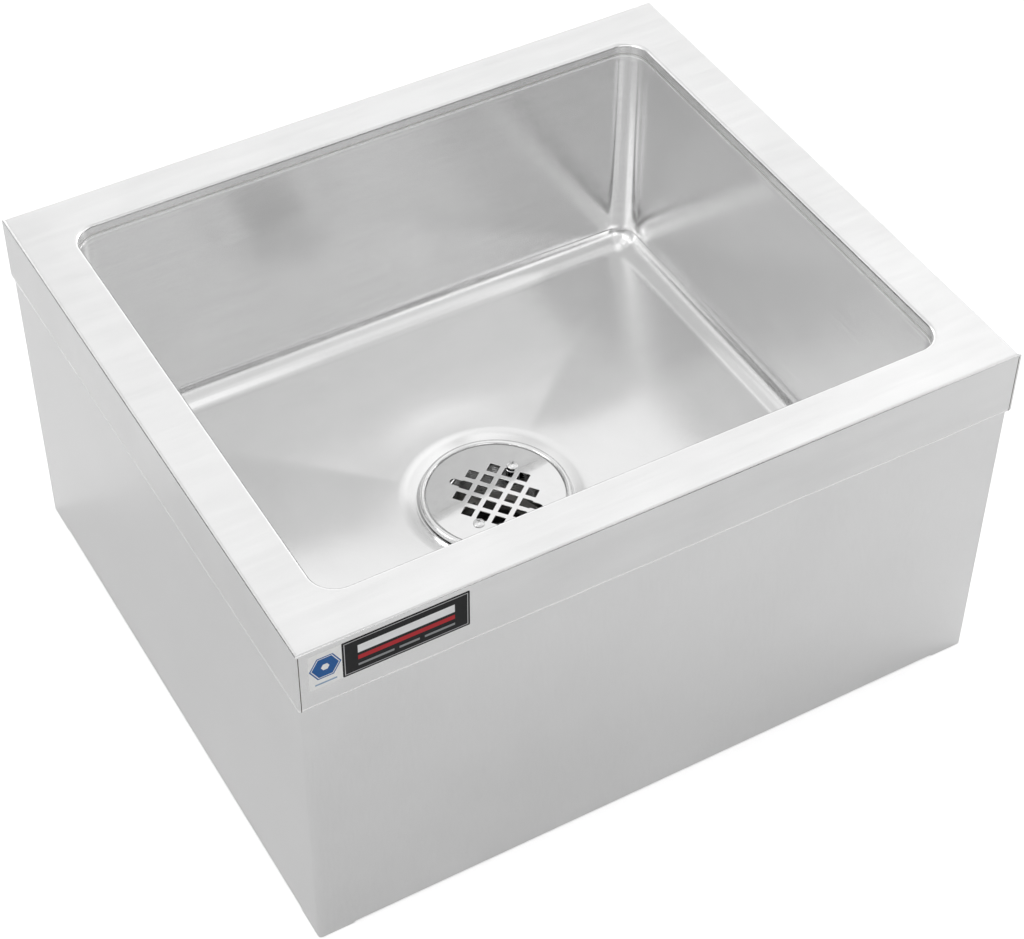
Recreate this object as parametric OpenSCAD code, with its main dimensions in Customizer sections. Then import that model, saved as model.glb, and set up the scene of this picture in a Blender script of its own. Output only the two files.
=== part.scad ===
// Floor-standing mop service sink in bent and welded stainless steel sheet.
// Origin: centre of the footprint on the floor. +X runs along the long front, the front faces -Y
// and +Z is up. All lengths are in millimetres.

/* [Cabinet] */
// Width along the front
overall_w = 558.8; // [480:0.1:760]
// Depth from front to back
overall_d = 482.6; // [420:0.1:660]
// Height from the ground to the top of the rim
overall_h = 304.8; // [250:0.1:420]
// Thickness of the steel sheet
sheet_t = 1.5; // [1.2:0.1:2]

/* [Rim] */
// Width of the flat rim at the left and right
rim_side_w = 38.1; // [30:0.1:60]
// Width of the flat rim at the front and back
rim_front_w = 38.1; // [30:0.1:60]
// Height of the apron that is folded down round the rim
apron_h = 54; // [30:1:90]
// Outside radius of the fold between rim and apron
apron_fold_r = 2.4; // [2.2:0.1:5]
// Outside radius of the roll from the rim into the bowl
mouth_roll_r = 3.2; // [2.6:0.1:6]
// Height of the lip that is turned down into the bowl
lip_h = 9; // [7:0.5:20]
// Root gap of the welded seams
seam_gap = 0.6; // [0.4:0.1:1.2]
// How far the corner weld stays back from the apron's face
weld_recess = 0.5; // [0.2:0.1:1]
// Radius of the nib at the foot of each corner weld
weld_nib_r = 1.1; // [0.8:0.1:1.6]
// How far the bowl's weld stands out behind the wall
weld_crown = 0.8; // [0.4:0.1:1.5]

/* [Bowl] */
// Height of the foot of the bowl's walls above the ground
floor_z = 101.6; // [95:0.1:130]
// Radius of the coved corners
cove_r = 19; // [12:0.5:30]
// Fall of the floor from its coves to its middle
floor_fall = 17; // [8:0.5:22]
// Diameter of the dish round the drain, where its side meets the floor
dish_top_d = 144; // [138:1:160]
// Height of the dish's side, from its flat bottom to the floor at its left and right
dish_rise = 3.5; // [2.5:0.1:8]
// Clearance between the drain's flange and the side of the dish
dish_play = 1; // [0.5:0.1:3]

/* [Skirt] */
// Play between the apron and the skirt inside it
skirt_play = 0.1; // [0:0.05:0.5]
// Outside radius of the upright corner bends
skirt_bend_r = 3; // [2.5:0.1:12]
// Width of the foot that is turned in at the ground
foot_w = 25.4; // [18:0.1:40]
// Outside radius of the fold above the foot
foot_fold_r = 2.5; // [2.2:0.1:5]
// How far the feet stop short of the corners
foot_relief = 28; // [20:1:45]
// Width of the upright flanges on the back panel
back_flange_w = 20; // [12:1:40]
// Leg of the gusset plates in the corners
gusset_leg = 66; // [55:1:90]

/* [Damping pads] */
// Length of a pad, front to back
pad_l = 150; // [100:5:160]
// Width of a pad
pad_w = 90; // [60:5:110]
// Thickness of a pad
pad_t = 2; // [1:0.5:4]
// Distance from the middle of the sink to the nearer edge of a pad
pad_from_middle = 100; // [90:5:110]

/* [Drain] */
// Radius of the flange's rolled rim round the strainer
flange_roll_r = 2.4; // [1.8:0.1:3]
// Thickness of the flange under the strainer
flange_t = 2.4; // [2:0.1:4]
// Thickness of the gasket under the flange
flange_gasket_t = 0.8; // [0.5:0.1:2]
// Outside diameter of the threaded shank
shank_d = 84; // [80:0.5:88]
// Diameter of the throat
throat_d = 76; // [70:0.5:77]
// Depth of the cone that leads into the throat
throat_lead = 4; // [2:0.5:8]
// Height of the shank's foot above the ground
shank_foot_z = 20; // [10:1:30]
// Outside diameter of the waste pipe that the drain takes
pipe_d = 60.3; // [48:0.1:61]
// Clearance between the pipe and the collar at the drain's foot, on radius
pipe_play = 0.35; // [0.2:0.05:0.45]
// Height of that collar
collar_h = 6; // [4:0.5:10]
// Clearance between the shank and the hole in the bowl, on radius
hole_play = 1.2; // [0.5:0.1:2]
// Clearance of a thread, on radius
thread_play = 0.1; // [0.05:0.01:0.3]

/* [Drain rings and nuts] */
// Outside diameter of the rings under the bowl
under_ring_d = 112; // [104:1:118]
// Thickness of the rubber washer
under_washer_t = 3; // [2:0.5:6]
// Thickness of the friction ring
friction_ring_t = 1; // [0.5:0.1:2]
// Outside diameter of the locknut's body
locknut_d = 106; // [100:1:112]
// Height of the locknut
locknut_h = 11; // [8:1:16]
// How far the locknut's lugs stand out
locknut_lug = 5; // [3:0.5:8]
// Width of a lug
locknut_lug_w = 14; // [8:1:20]
// Number of lugs
locknut_lugs = 6; // [4:1:8]
// Height of the pipe seal
seal_h = 16; // [10:1:20]
// How far the top of the seal is tapered in
seal_taper = 1.6; // [1:0.1:2.5]
// Height of the compression nut
compression_nut_h = 12; // [8:1:16]
// Clearance of the compression nut round the pipe, on radius
nut_pipe_play = 1.2; // [0.5:0.1:2]
// Width of the wrench notches in the compression nut
notch_w = 9; // [6:0.5:12]
// Depth of those notches
notch_h = 5; // [3:0.5:7]

/* [Strainer] */
// Diameter of the strainer plate
plate_d = 108; // [104:0.5:109]
// Thickness of the plate
plate_t = 1.2; // [1:0.1:1.6]
// Clearance of the plate in the rolled rim, on radius
plate_play = 0.6; // [0.4:0.1:1]
// Distance between the holes of the grid
grid_pitch = 12.6; // [12:0.1:13.2]
// Side of a square hole
grid_hole = 8.6; // [7:0.1:9.2]
// Holes along each side of the grid
grid_n = 5; // [3:2:5]
// Turn of the grid and its screws about the drain's axis, in degrees
grid_turn = 38; // [0:1:90]
// Width of the screw slots
slot_w = 6.6; // [6:0.1:7.4]
// Distance from the plate's middle to the centre of a slot's round end
slot_reach = 35.2; // [34.5:0.1:37]

/* [Strainer screws] */
// Distance of a screw from the plate's middle
screw_reach = 33.6; // [33:0.1:34.4]
// Diameter of the screw
screw_d = 4.8; // [4:0.1:5.2]
// Length of the screw under its head
screw_l = 13; // [8:1:16]
// Diameter of the head
screw_head_d = 9.2; // [8.8:0.1:10]
// Height of the head
screw_head_h = 2.4; // [2:0.1:3]
// Radius of the head's domed top
screw_dome_r = 7; // [6:0.5:12]
// Width of each arm of the cross recess
cross_w = 1; // [0.8:0.1:1.4]
// Length of the cross recess
cross_l = 4.4; // [3.5:0.1:5]
// Depth of the cross recess
cross_depth = 1.5; // [1:0.1:1.8]
// Running clearance between the screw and its lug, on radius
screw_play = 0.05; // [0.02:0.01:0.1]
// Radius of the lug that takes the screw
lug_r = 6; // [5:0.5:7.5]
// Height of the lug
lug_h = 16; // [12:1:20]

/* [Front stickers] */
// Distance from the left edge of the cabinet to the tag
tag_from_edge = 8.2; // [5:0.1:40]
// Distance from the top of the rim to the stickers
sticker_drop = 5.6; // [4:0.1:20]
// Height of both stickers
sticker_h = 32; // [15:0.5:40]
// Width of the tag
tag_w = 23.4; // [15:0.1:40]
// Width of the plate beside it
front_plate_w = 91; // [60:0.5:140]
// Thickness of the stickers
sticker_t = 0.2; // [0.1:0.05:0.5]
// Corner radius of the stickers
sticker_corner_r = 0.8; // [0.4:0.1:3]
// Gap between the two stickers
sticker_gap = 0.3; // [0.1:0.1:10]

/* [Hidden] */
$fn = 96;
eps = 0.01;
// How far shapes that are joined or cut reach past each other
lap = 1;

// Inner half sizes of the bowl and the levels of its floor
bowl_x = overall_w / 2 - rim_side_w;
bowl_y = overall_d / 2 - rim_front_w;
floor_x = bowl_x - cove_r;
floor_y = bowl_y - cove_r;
floor_mid_z = floor_z - floor_fall;
bowl_top_z = overall_h - lip_h - seam_gap;

// Drain flange, and the dish that holds it: the dish's side slopes from dish_r up to dish_edge_r
plate_r = plate_d / 2;
seat_r = plate_r + plate_play;
roll_mid_r = seat_r + flange_roll_r;
flange_r = roll_mid_r + flange_roll_r;
dish_r = flange_r + dish_play;
dish_edge_r = dish_top_d / 2;
dish_edge_z = floor_mid_z + floor_fall * dish_edge_r / floor_x;
dish_z = dish_edge_z - dish_rise;
dish_slope = atan2(dish_edge_z - dish_z, dish_edge_r - dish_r);
dish_room_h = floor_z - dish_z;

// Skirt
skirt_x = overall_w / 2 - sheet_t - skirt_play;
skirt_y = overall_d / 2 - sheet_t - skirt_play;
skirt_top_z = overall_h - apron_fold_r - skirt_play;
back_x = skirt_x - sheet_t - skirt_play;

// Drain stack, from the dish upwards and downwards
flange_z = dish_z + flange_gasket_t;
ledge_z = flange_z + flange_t;
roll_mid_z = ledge_z + plate_t / 2;
shank_r = shank_d / 2;
throat_r = throat_d / 2;
hole_r = shank_r + hole_play;
collar_r = pipe_d / 2 + pipe_play;
collar_top_z = shank_foot_z + collar_h;
seal_top_z = collar_top_z + seal_h;
under_z = dish_z - sheet_t;
washer_z = under_z - under_washer_t;
friction_z = washer_z - friction_ring_t;
locknut_z = friction_z - locknut_h;
ring_bore_r = shank_r + thread_play;
plate_top_z = ledge_z + plate_t;
screw_bore_r = screw_d / 2 + screw_play;

// ---------------------------------------------------------------- shared shapes

// Rectangle with round corners, centred on the origin
module round_rect(hx, hy, r) {
    square([2 * (hx - r), 2 * hy], center = true);
    square([2 * hx, 2 * (hy - r)], center = true);
    for (sx = [-1, 1], sy = [-1, 1])
        translate([sx * (hx - r), sy * (hy - r)])
            circle(r);
}

// Sweeps a profile round a rounded rectangle. The profile's x is the distance outward from the
// rectangle's edge and its y becomes height.
module sweep_round(hx, hy, r) {
    for (k = [0:3]) {
        a = k % 2 == 0 ? hx : hy;
        b = k % 2 == 0 ? hy : hx;
        rotate([0, 0, 90 * k])
            translate([a - r, b - r, 0]) {
                rotate([90, 0, 0])
                    linear_extrude(height = 2 * (b - r))
                        translate([r, 0])
                            children();
                rotate_extrude(angle = 90)
                    translate([r, 0])
                        children();
            }
    }
}

// Quarter of a ring in the first quadrant of its own centre
module quarter_ring(outer_r, inner_r) {
    intersection() {
        difference() {
            circle(outer_r);
            circle(inner_r);
        }
        square(outer_r);
    }
}

// Ball with its poles on the Z axis
module ball(r) {
    rotate_extrude()
        intersection() {
            circle(r);
            translate([0, -r])
                square([r, 2 * r]);
        }
}

// Ring about the drain's axis
module ring(outer_r, inner_r, z, h) {
    translate([0, 0, z])
        difference() {
            cylinder(r = outer_r, h = h);
            translate([0, 0, -eps])
                cylinder(r = inner_r, h = h + 2 * eps);
        }
}

// ---------------------------------------------------------------- rim

// Section of a folded sheet: a bar with its two top corners rounded, open at the foot
module folded_section(half_w, top_z, foot_z, r) {
    translate([-half_w, foot_z])
        square([2 * half_w, top_z - r - foot_z]);
    translate([-(half_w - r), top_z - r])
        square([2 * (half_w - r), r]);
    for (s = [-1, 1])
        translate([s * (half_w - r), top_z - r])
            circle(r);
}

// Box with its four top edges rounded
module folded_box(inset, top_z, foot_z, r) {
    intersection() {
        translate([0, overall_d / 2 - inset, 0])
            rotate([90, 0, 0])
                linear_extrude(height = overall_d - 2 * inset)
                    folded_section(overall_w / 2 - inset, top_z, foot_z, r);
        rotate([0, 0, 90])
            translate([0, overall_w / 2 - inset, 0])
                rotate([90, 0, 0])
                    linear_extrude(height = overall_w - 2 * inset)
                        folded_section(overall_d / 2 - inset, top_z, foot_z, r);
    }
}

// Section of the roll into the bowl and the lip below it, with a strip that laps into the flat rim
module mouth_section() {
    translate([mouth_roll_r, overall_h - mouth_roll_r])
        mirror([1, 0])
            quarter_ring(mouth_roll_r, mouth_roll_r - sheet_t);
    translate([0, overall_h - lip_h])
        square([sheet_t, lip_h - mouth_roll_r]);
    translate([mouth_roll_r, overall_h - sheet_t])
        square([lap, sheet_t]);
}

// The gap between the end of a front or back apron and the side apron, at all four corners
module apron_seams(y_out, y_in, z0, z1) {
    x_out = overall_w / 2 - sheet_t;
    for (sx = [-1, 1], sy = [-1, 1])
        scale([sx, sy, 1])
            translate([x_out - seam_gap, overall_d / 2 - y_in, z0])
                cube([seam_gap, y_in - y_out, z1 - z0]);
}

module rim_deck() {
    apron_z = overall_h - apron_h;
    color("gainsboro") {
        difference() {
            folded_box(0, overall_h, apron_z, apron_fold_r);
            folded_box(sheet_t, overall_h - sheet_t, apron_z - lap, apron_fold_r - sheet_t);
            translate([0, 0, overall_h - 2 * sheet_t])
                linear_extrude(height = 4 * sheet_t)
                    round_rect(bowl_x + mouth_roll_r, bowl_y + mouth_roll_r, cove_r + mouth_roll_r);
            apron_seams(-lap, sheet_t, apron_z - lap, overall_h - apron_fold_r);
        }
        sweep_round(bowl_x, bowl_y, cove_r)
            mouth_section();
    }
}

module apron_corner_welds() {
    apron_z = overall_h - apron_h;
    nib_x = overall_w / 2 - sheet_t - seam_gap / 2;
    nib_y = overall_d / 2 - sheet_t / 2;
    color("dimgray") {
        apron_seams(weld_recess, sheet_t, apron_z, overall_h - apron_fold_r);
        for (sx = [-1, 1], sy = [-1, 1])
            translate([sx * nib_x, sy * nib_y, apron_z - weld_nib_r / 2])
                cylinder(r1 = weld_nib_r / 2, r2 = sheet_t / 2, h = weld_nib_r / 2);
    }
}

// ---------------------------------------------------------------- bowl

// Wedge along Y whose under side falls from both ends to the middle
module fall_wedge(half_w, half_l, drop, lift) {
    translate([0, half_l, 0])
        rotate([90, 0, 0])
            linear_extrude(height = 2 * half_l)
                polygon([
                    [-half_w, floor_z + lift],
                    [-half_w, floor_z - drop],
                    [0, floor_mid_z - drop],
                    [half_w, floor_z - drop],
                    [half_w, floor_z + lift],
                ]);
}

// Block over a floor that is creased in four planes, lowered by drop. It ends inside the dish, a
// little above its flat bottom.
module floor_block(drop) {
    foot = dish_z - drop + dish_rise / 4;
    intersection() {
        fall_wedge(floor_x, floor_y, drop, cove_r + lap);
        rotate([0, 0, 90])
            fall_wedge(floor_y, floor_x, drop, cove_r + lap);
        translate([-bowl_x, -bowl_y, foot])
            cube([2 * bowl_x, 2 * bowl_y, overall_h - foot]);
    }
}

// Room of the bowl up to the height top_z, grown by a thickness: its outside is the room grown by the sheet
module bowl_room(thick, top_z) {
    r = cove_r + thick;
    z = floor_z + cove_r;
    side = thick * tan(dish_slope / 2);
    translate([0, 0, z])
        linear_extrude(height = top_z - z)
            round_rect(bowl_x + thick, bowl_y + thick, r);
    for (s = [-1, 1]) {
        translate([s * floor_x, 0, z])
            rotate([90, 0, 0])
                cylinder(r = r, h = 2 * floor_y, center = true);
        translate([0, s * floor_y, z])
            rotate([0, 90, 0])
                cylinder(r = r, h = 2 * floor_x, center = true);
        for (t = [-1, 1])
            translate([s * floor_x, t * floor_y, z])
                ball(r);
    }
    floor_block(thick);
    // Dish round the drain
    translate([0, 0, dish_z - thick])
        cylinder(r1 = dish_r + side, r2 = dish_r + side + dish_room_h / tan(dish_slope), h = dish_room_h);
}

module bowl() {
    color("silver")
        difference() {
            bowl_room(sheet_t, bowl_top_z);
            bowl_room(0, bowl_top_z + lap);
            translate([0, 0, dish_z - 2 * sheet_t])
                cylinder(r = hole_r, h = 4 * sheet_t);
        }
}

module bowl_seam_weld() {
    color("darkgray")
        sweep_round(bowl_x, bowl_y, cove_r)
            translate([0, bowl_top_z])
                square([sheet_t + weld_crown, seam_gap]);
}

module sound_pads() {
    fall = floor_fall / floor_x;
    x0 = pad_from_middle;
    x1 = pad_from_middle + pad_w;
    top0 = floor_mid_z - sheet_t + fall * x0;
    top1 = floor_mid_z - sheet_t + fall * x1;
    color("darkslategray")
        for (side = [0, 180])
            rotate([0, 0, side])
                translate([0, pad_l / 2, 0])
                    rotate([90, 0, 0])
                        linear_extrude(height = pad_l)
                            polygon([[x0, top0], [x1, top1], [x1, top1 - pad_t], [x0, top0 - pad_t]]);
}

// ---------------------------------------------------------------- skirt

// Section of the turned-in foot; x = 0 is the outer face and x grows inward
module foot_section() {
    translate([foot_fold_r, foot_fold_r])
        rotate([0, 0, 180])
            quarter_ring(foot_fold_r, foot_fold_r - sheet_t);
    translate([foot_fold_r, 0])
        square([foot_w - foot_fold_r, sheet_t]);
    translate([0, foot_fold_r])
        square([sheet_t, lap]);
}

// A length of foot along the +X side at distance x, from y0 to y1
module foot_run(x, y0, y1) {
    translate([x, y1, 0])
        rotate([90, 0, 0])
            linear_extrude(height = y1 - y0)
                mirror([1, 0])
                    foot_section();
}

// Plan of the room inside the front and side walls, drawn in by inset and open at the back
module wrap_plan(inset, back_y) {
    round_rect(skirt_x - inset, skirt_y - inset, skirt_bend_r - inset);
    translate([-(skirt_x - inset), 0])
        square([2 * (skirt_x - inset), back_y]);
}

module skirt_wrap() {
    color("lightgray") {
        difference() {
            linear_extrude(height = skirt_top_z)
                wrap_plan(0, skirt_y);
            translate([0, 0, -lap])
                linear_extrude(height = skirt_top_z + 2 * lap)
                    wrap_plan(sheet_t, skirt_y + lap);
            // The walls end above the feet, and go down to the ground at the corners only
            translate([0, 0, foot_fold_r / 2])
                cube([4 * skirt_x, 2 * (skirt_y - foot_relief), foot_fold_r], center = true);
            translate([0, -skirt_y, foot_fold_r / 2])
                cube([2 * (skirt_x - foot_relief), skirt_y, foot_fold_r], center = true);
        }
        for (side = [0, 180])
            rotate([0, 0, side])
                foot_run(skirt_x, foot_relief - skirt_y, skirt_y - foot_relief);
        rotate([0, 0, -90])
            foot_run(skirt_y, foot_relief - skirt_x, skirt_x - foot_relief);
    }
}

module back_panel() {
    color("lightgray") {
        difference() {
            union() {
                translate([-back_x, skirt_y - sheet_t, 0])
                    cube([2 * back_x, sheet_t, skirt_top_z]);
                for (s = [-1, 1])
                    translate([s * (back_x - sheet_t / 2), skirt_y - back_flange_w / 2, skirt_top_z / 2])
                        cube([sheet_t, back_flange_w, skirt_top_z], center = true);
            }
            // Above the foot the panel ends as the walls do
            translate([0, skirt_y, foot_fold_r / 2])
                cube([2 * (skirt_x - foot_relief), 4 * sheet_t, foot_fold_r], center = true);
            for (s = [-1, 1])
                translate([s * back_x, skirt_y - back_flange_w / 2 - sheet_t, foot_fold_r / 2])
                    cube([4 * sheet_t, back_flange_w, foot_fold_r], center = true);
        }
        rotate([0, 0, 90])
            foot_run(skirt_y, foot_relief - skirt_x, skirt_x - foot_relief);
    }
}

module corner_gussets() {
    gx = min(back_x - sheet_t, skirt_x - foot_fold_r) - skirt_play;
    gy = skirt_y - foot_fold_r - skirt_play;
    color("silver")
        for (sx = [-1, 1], sy = [-1, 1])
            scale([sx, sy, 1])
                translate([gx, gy, sheet_t])
                    linear_extrude(height = sheet_t)
                        polygon([
                            [-skirt_bend_r, 0],
                            [0, -skirt_bend_r],
                            [0, -gusset_leg],
                            [-gusset_leg, 0],
                        ]);
}

// ---------------------------------------------------------------- drain

// Repeats a piece at the two screws
module at_screw(k) {
    rotate([0, 0, grid_turn + 180 * k])
        translate([screw_reach, 0, 0])
            children();
}

module drain_body() {
    color("gainsboro")
        difference() {
            union() {
                rotate_extrude() {
                    // Rolled rim round the strainer
                    translate([roll_mid_r, roll_mid_z])
                        circle(flange_roll_r);
                    translate([roll_mid_r - flange_roll_r, flange_z])
                        square([2 * flange_roll_r, roll_mid_z - flange_z]);
                    // Ledge, lead-in, shank and collar
                    polygon([
                        [roll_mid_r, flange_z],
                        [roll_mid_r, ledge_z],
                        [throat_r + throat_lead, ledge_z],
                        [throat_r, ledge_z - throat_lead],
                        [throat_r, collar_top_z],
                        [collar_r, collar_top_z],
                        [collar_r, shank_foot_z],
                        [shank_r, shank_foot_z],
                        [shank_r, flange_z],
                    ]);
                }
                intersection() {
                    for (k = [0, 1])
                        at_screw(k)
                            translate([0, 0, ledge_z - lug_h])
                                cylinder(r = lug_r, h = lug_h);
                    cylinder(r = throat_r + (shank_r - throat_r) / 2, h = ledge_z);
                }
            }
            for (k = [0, 1])
                at_screw(k)
                    translate([0, 0, ledge_z - lug_h - lap])
                        cylinder(r = screw_bore_r, h = lug_h + 2 * lap);
        }
}

module flange_gasket() {
    color("dimgray")
        ring(roll_mid_r, hole_r, dish_z, flange_gasket_t);
}

module under_washer() {
    color("black")
        ring(under_ring_d / 2, ring_bore_r, washer_z, under_washer_t);
}

module friction_ring() {
    color("tan")
        ring(under_ring_d / 2, ring_bore_r, friction_z, friction_ring_t);
}

module drain_locknut() {
    lug_root_r = (locknut_d / 2 + ring_bore_r) / 2;
    color("silver")
        difference() {
            union() {
                translate([0, 0, locknut_z])
                    cylinder(d = locknut_d, h = locknut_h);
                for (k = [0:locknut_lugs - 1])
                    rotate([0, 0, 360 * k / locknut_lugs])
                        translate([lug_root_r, -locknut_lug_w / 2, locknut_z])
                            cube([locknut_d / 2 + locknut_lug - lug_root_r, locknut_lug_w, locknut_h]);
            }
            translate([0, 0, locknut_z - lap])
                cylinder(r = ring_bore_r, h = locknut_h + 2 * lap);
        }
}

module pipe_seal() {
    outer = throat_r - thread_play;
    color("black")
        rotate_extrude()
            polygon([
                [collar_r, collar_top_z],
                [outer, collar_top_z],
                [outer, seal_top_z - seal_taper],
                [outer - seal_taper, seal_top_z],
                [collar_r, seal_top_z],
            ]);
}

module compression_nut() {
    outer = throat_r - thread_play;
    inner = pipe_d / 2 + nut_pipe_play;
    color("darkgray")
        difference() {
            ring(outer, inner, seal_top_z, compression_nut_h);
            for (k = [0, 90])
                rotate([0, 0, grid_turn + 45 + k])
                    translate([-throat_r, -notch_w / 2, seal_top_z + compression_nut_h - notch_h])
                        cube([throat_d, notch_w, notch_h + lap]);
        }
}

module strainer_plate() {
    side = (grid_n - 1) / 2;
    color("whitesmoke")
        difference() {
            translate([0, 0, ledge_z])
                cylinder(r = plate_r, h = plate_t);
            rotate([0, 0, grid_turn]) {
                // Square grid without its four corner holes
                for (i = [-side:side], j = [-side:side])
                    if (abs(i) < side || abs(j) < side)
                        translate([i * grid_pitch, j * grid_pitch, ledge_z + plate_t / 2])
                            cube([grid_hole, grid_hole, 2 * plate_t], center = true);
                // Screw slots that run out of the middle hole of each side
                for (k = [0:3])
                    rotate([0, 0, 90 * k])
                        translate([side * grid_pitch, 0, ledge_z - plate_t / 2]) {
                            translate([0, -slot_w / 2, 0])
                                cube([slot_reach - side * grid_pitch, slot_w, 2 * plate_t]);
                            translate([slot_reach - side * grid_pitch, 0, 0])
                                cylinder(d = slot_w, h = 2 * plate_t);
                        }
            }
        }
}

module strainer_screw(k) {
    color("gainsboro")
        at_screw(k)
            difference() {
                union() {
                    translate([0, 0, plate_top_z - screw_l])
                        cylinder(d = screw_d, h = screw_l + screw_head_h / 4);
                    intersection() {
                        translate([0, 0, plate_top_z])
                            cylinder(d = screw_head_d, h = screw_head_h);
                        translate([0, 0, plate_top_z + screw_head_h - screw_dome_r])
                            sphere(r = screw_dome_r);
                    }
                }
                for (a = [0, 90])
                    rotate([0, 0, a])
                        translate([0, 0, plate_top_z + screw_head_h - cross_depth / 2 + lap / 2])
                            cube([cross_l, cross_w, cross_depth + lap], center = true);
            }
}

module strainer_screw_a() {
    strainer_screw(0);
}

module strainer_screw_b() {
    strainer_screw(1);
}

// ---------------------------------------------------------------- stickers

// Thin sticker on the face of the front apron, with its left end at x0
module sticker(x0, w) {
    translate([x0 + w / 2, -overall_d / 2, overall_h - sticker_drop - sticker_h / 2])
        rotate([90, 0, 0])
            linear_extrude(height = sticker_t)
                round_rect(w / 2, sticker_h / 2, sticker_corner_r);
}

module front_tag() {
    color("white")
        sticker(tag_from_edge - overall_w / 2, tag_w);
}

module front_plate() {
    color("black")
        sticker(tag_from_edge + tag_w + sticker_gap - overall_w / 2, front_plate_w);
}

rim_deck();
apron_corner_welds();
bowl();
bowl_seam_weld();
skirt_wrap();
back_panel();
corner_gussets();
sound_pads();
drain_body();
flange_gasket();
under_washer();
friction_ring();
drain_locknut();
pipe_seal();
compression_nut();
strainer_plate();
strainer_screw_a();
strainer_screw_b();
front_plate();
front_tag();
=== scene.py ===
"""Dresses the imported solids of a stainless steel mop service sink: bent sheet, welds, drain and stickers.

Everything is in metres, with the sink's footprint centred on the origin, the front facing -Y and +Z up.
"""

import math

import bmesh
import bpy
from bpy.props import FloatProperty, FloatVectorProperty, PointerProperty
from mathutils import Matrix, Vector


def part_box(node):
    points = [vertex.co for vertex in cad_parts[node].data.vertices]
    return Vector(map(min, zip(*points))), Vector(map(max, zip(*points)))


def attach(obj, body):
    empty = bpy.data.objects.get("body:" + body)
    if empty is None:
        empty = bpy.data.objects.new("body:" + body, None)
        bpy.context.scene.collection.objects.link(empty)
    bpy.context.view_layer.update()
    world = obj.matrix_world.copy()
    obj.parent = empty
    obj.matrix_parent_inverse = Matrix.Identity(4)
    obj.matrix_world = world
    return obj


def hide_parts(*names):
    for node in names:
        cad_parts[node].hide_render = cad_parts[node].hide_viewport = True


bl_info = {
    "name": "Mop Service Sink",
    "version": (1, 0, 0),
    "blender": (4, 5, 0),
    "location": "View3D > Sidebar > Service Sink",
    "description": "Builds the visible pieces of a floor-standing mop sink round its packed solids",
    "category": "Add Mesh",
}

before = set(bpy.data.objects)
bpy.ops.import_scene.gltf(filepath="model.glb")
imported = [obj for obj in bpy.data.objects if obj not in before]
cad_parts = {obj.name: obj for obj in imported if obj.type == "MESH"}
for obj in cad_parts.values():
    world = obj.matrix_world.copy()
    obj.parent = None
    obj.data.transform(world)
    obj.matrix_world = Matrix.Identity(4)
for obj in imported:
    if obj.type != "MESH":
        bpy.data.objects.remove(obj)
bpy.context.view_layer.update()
MM = 0.001
SHEET = 1.5 * MM
DECK_LOW, DECK_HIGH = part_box("rim_deck")
BOWL_LOW, BOWL_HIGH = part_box("bowl")
STRAINER_LOW, STRAINER_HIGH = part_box("strainer_plate")
SKIRT_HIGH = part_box("skirt_wrap")[1]
PANEL_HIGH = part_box("back_panel")[1]
DRAIN_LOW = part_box("drain_body")[0]

PHOTO_WIDTH = 1024  # pixels
FOCAL_LENGTH = 2519.76  # pixels
LENS_SHIFT = (40, -9.5)  # pixels
SENSOR_WIDTH = 36.0  # millimetres

# Signs of the corners of a rectangle, counter-clockwise
CORNERS = ((1, 1), (-1, 1), (-1, -1), (1, -1))
# Steps of mesh along the long and short sides of the bowl's mouth
SIDE_STEPS = (36, 30)
# Softness of the edge of a printed ink
INK_EDGE = 0.12 * MM
METAL = {"Metallic": 1.0}
# Sines of the heights between which the studio's walls fade from their bright foot to their even top
HORIZON = (0.28, 0.46)
# Height of the point that the lamps and flags face, and their distances from it
AIM_HEIGHT, LAMP_DISTANCE, FLAG_DISTANCE = 0.25, 3.0, 2.6


# ---------------------------------------------------------------- colours and small helpers


def linear(hex_code):
    """Turns an sRGB hex colour such as "C8C9C8" into linear red, green and blue."""
    parts = [int(hex_code[i : i + 2], 16) / 255 for i in (0, 2, 4)]
    return tuple(c / 12.92 if c <= 0.04045 else ((c + 0.055) / 1.055) ** 2.4 for c in parts)


def smoothstep(t):
    t = min(max(t, 0.0), 1.0)
    return t * t * (3 - 2 * t)


def length_prop(name, text, value, high=2.0):
    return FloatProperty(
        name=name, description=text, default=value, min=0.0, max=high, precision=5,
        subtype="DISTANCE", unit="LENGTH",
    )


def colour_prop(name, text, hex_code):
    return FloatVectorProperty(
        name=name, description=text, default=linear(hex_code), size=3, min=0.0, max=1.0, subtype="COLOR"
    )


def factor_prop(name, text, value, high=1.0):
    return FloatProperty(name=name, description=text, default=value, min=0.0, max=high, subtype="FACTOR")


def angle_prop(name, text, degrees):
    return FloatProperty(
        name=name, description=text, default=math.radians(degrees), subtype="ANGLE", unit="ROTATION"
    )


# ---------------------------------------------------------------- settings


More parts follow.
